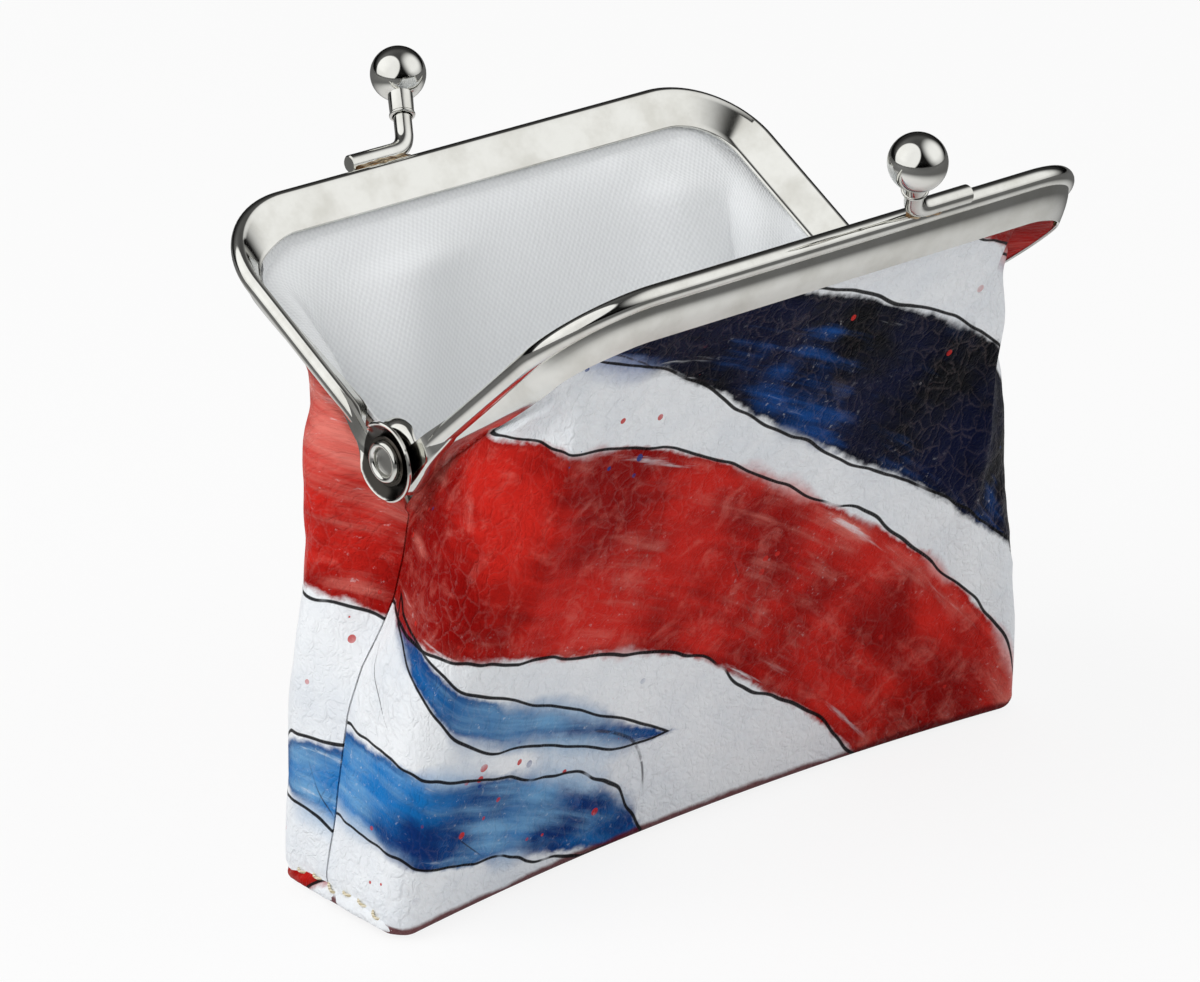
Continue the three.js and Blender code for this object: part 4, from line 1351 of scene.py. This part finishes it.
def corner_stitches(side):
    """Stitches along the seam that boxes a corner."""
    reach = side_reach(side)
    parts = []
    for start in np.arange(-8.6, 8.0, STITCH_SPACING):
        path = []
        for t in np.linspace(0, 1, 9):
            y = start + STITCH * t
            z = float(corner_seam(y)) + 0.3 * (t - 0.5)
            path.append((side * (reach(y, z) + 0.5 * math.sin(math.pi * t) ** 0.6 - 0.2), y, z))
        parts.append(tube(path, STITCH_RADIUS, 10, 0.06))
    return parts


SEAM_INSIDE = 1.5


def side_thread(side):
    """The thread that runs up a side seam, inside the fold."""
    column = 0 if side < 0 else -1
    seam = (leathers["front"][:, column] + leathers["back"][:, column]) / 2
    run = seam[FOOT_ROW + 3 : FOOT_ROW + len(CLIMBS) - 4] - np.array([side * SEAM_INSIDE, 0, 0])
    return [tube(run, STITCH_RADIUS, 8, 0.05)]


for name, side in (("left", -1), ("right", 1)):
    fold = corner_fold(side, leatherette)
    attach(fold, "bag")
    for place_name, parts in (("corner", corner_stitches(side)), ("side", side_thread(side))):
        sewing = make(f"{name}_{place_name}_thread", parts, thread)
        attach(sewing, "bag")
        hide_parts(f"{name}_{place_name}_stitching")

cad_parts["base_stitching"].data.materials.clear()
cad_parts["base_stitching"].data.materials.append(thread)

# Stage and light
FLOOR_REACH = 4.0
FLOOR_DROP = 0.0003
FLOOR_GLOW = 0.86
FLOOR_WHITE, FLOOR_DARK = (0.86, 0.86, 0.86), (0.14, 0.14, 0.14)
TABLE_EDGE = 92.0, 215.0
corners = [(x * FLOOR_REACH, y * FLOOR_REACH, 0) for x, y in ((-1, -1), (1, -1), (1, 1), (-1, 1))]
floor_mesh = bpy.data.meshes.new("floor")
floor_mesh.from_pydata(corners, [], [(0, 1, 2, 3)])
floor = bpy.data.objects.new("floor", floor_mesh)
floor.location.z = -FLOOR_DROP
scene.collection.objects.link(floor)

n = Nodes("white_floor")
tree = n.tree
floor_mesh.materials.append(n.material)
glow = add_node(tree, "Emission")
seen = add_node(tree, "LightPath", (), "Is Camera Ray")
surface = Value(tree, n.shader.outputs[0])
mixed = add_node(tree, "MixShader", (seen * FLOOR_GLOW, surface, glow))
feed(tree, tree.nodes["Material Output"].inputs["Surface"], mixed)

# Bright metal sees the table end in the dark of the room
x, y, _ = n.split(n.coordinates())
glossy = Value(tree, seen.socket.node.outputs["Is Glossy Ray"])
far = (x * x + y * y).power(0.5).step(*TABLE_EDGE) * glossy
n.set(Base_Color=n.mix(far, FLOOR_WHITE, FLOOR_DARK), Roughness=0.9)


KEY_WAY, FILL_WAY, CARD_WAY = (-0.62, 0.53, 0.58), (0.82, 0.5, 0.24), (-0.68, 0.29, 0.67)


def from_camera(shares):
    """A direction given as shares of the camera's right, up and back."""
    return (right * shares[0] + up * shares[1] + back * shares[2]).normalized()


def lamp(name, way, distance, size, watts):
    """A soft box in a direction, unseen in the metal."""
    data = bpy.data.lights.new(name, "AREA")
    data.shape = "RECTANGLE"
    data.size, data.size_y = size
    data.energy = watts
    made = bpy.data.objects.new(name, data)
    made.visible_glossy = False
    made.location = Vector((0, 0, 0.05)) + way * distance
    made.rotation_euler = way.to_track_quat("Z", "Y").to_euler()
    scene.collection.objects.link(made)


lamp("key", from_camera(KEY_WAY), 0.9, (0.62, 0.8), 4.9)
lamp("fill", from_camera(FILL_WAY), 1.1, (0.7, 0.8), 2.4)

world = bpy.data.worlds.new("studio")
scene.world = world
world.use_nodes = True
tree = world.node_tree
ground = tree.nodes["Background"]
direction = add_node(tree, "TexCoord", (), "Generated")
AMBIENT = 0.5
ABOVE, FROM_RIGHT, FROM_LEFT = 0.16, 0.86, 1.0


def towards(way):
    """How far the ray heads along a direction, from -1 to 1."""
    return add_node(tree, "VectorMath", (direction, tuple(way)), "Value", operation="DOT_PRODUCT")


def room():
    """What bright metal sees: dark beyond the table's edge and behind the camera, paler above."""
    height = towards((0, 0, 1))
    above = height.step(0.1, 0.36) * ABOVE + 0.015
    above = above * (1.0 - height.step(0.6, 1.0) * 0.6)
    above = above * (1.0 - towards(back).step(0.45, 0.85) * 0.95)
    above = above * (1.0 - towards(-back).step(0.0, 0.6) * 0.85)
    from_right = towards(from_camera(FILL_WAY)).step(0.62, 0.95)
    from_left = towards(from_camera(CARD_WAY)).step(0.6, 0.67)
    return above + from_right * FROM_RIGHT + from_left * FROM_LEFT


glossy = add_node(tree, "LightPath", (), "Is Glossy Ray")
seen = Value(tree, glossy.socket.node.outputs["Is Camera Ray"])
light = AMBIENT + (room() - AMBIENT) * glossy
light = light + (1.0 - light) * seen
feed(tree, ground.inputs["Strength"], light)
feed(tree, ground.inputs["Color"], (1, 1, 1, 1))

scene.view_settings.view_transform = "Standard"
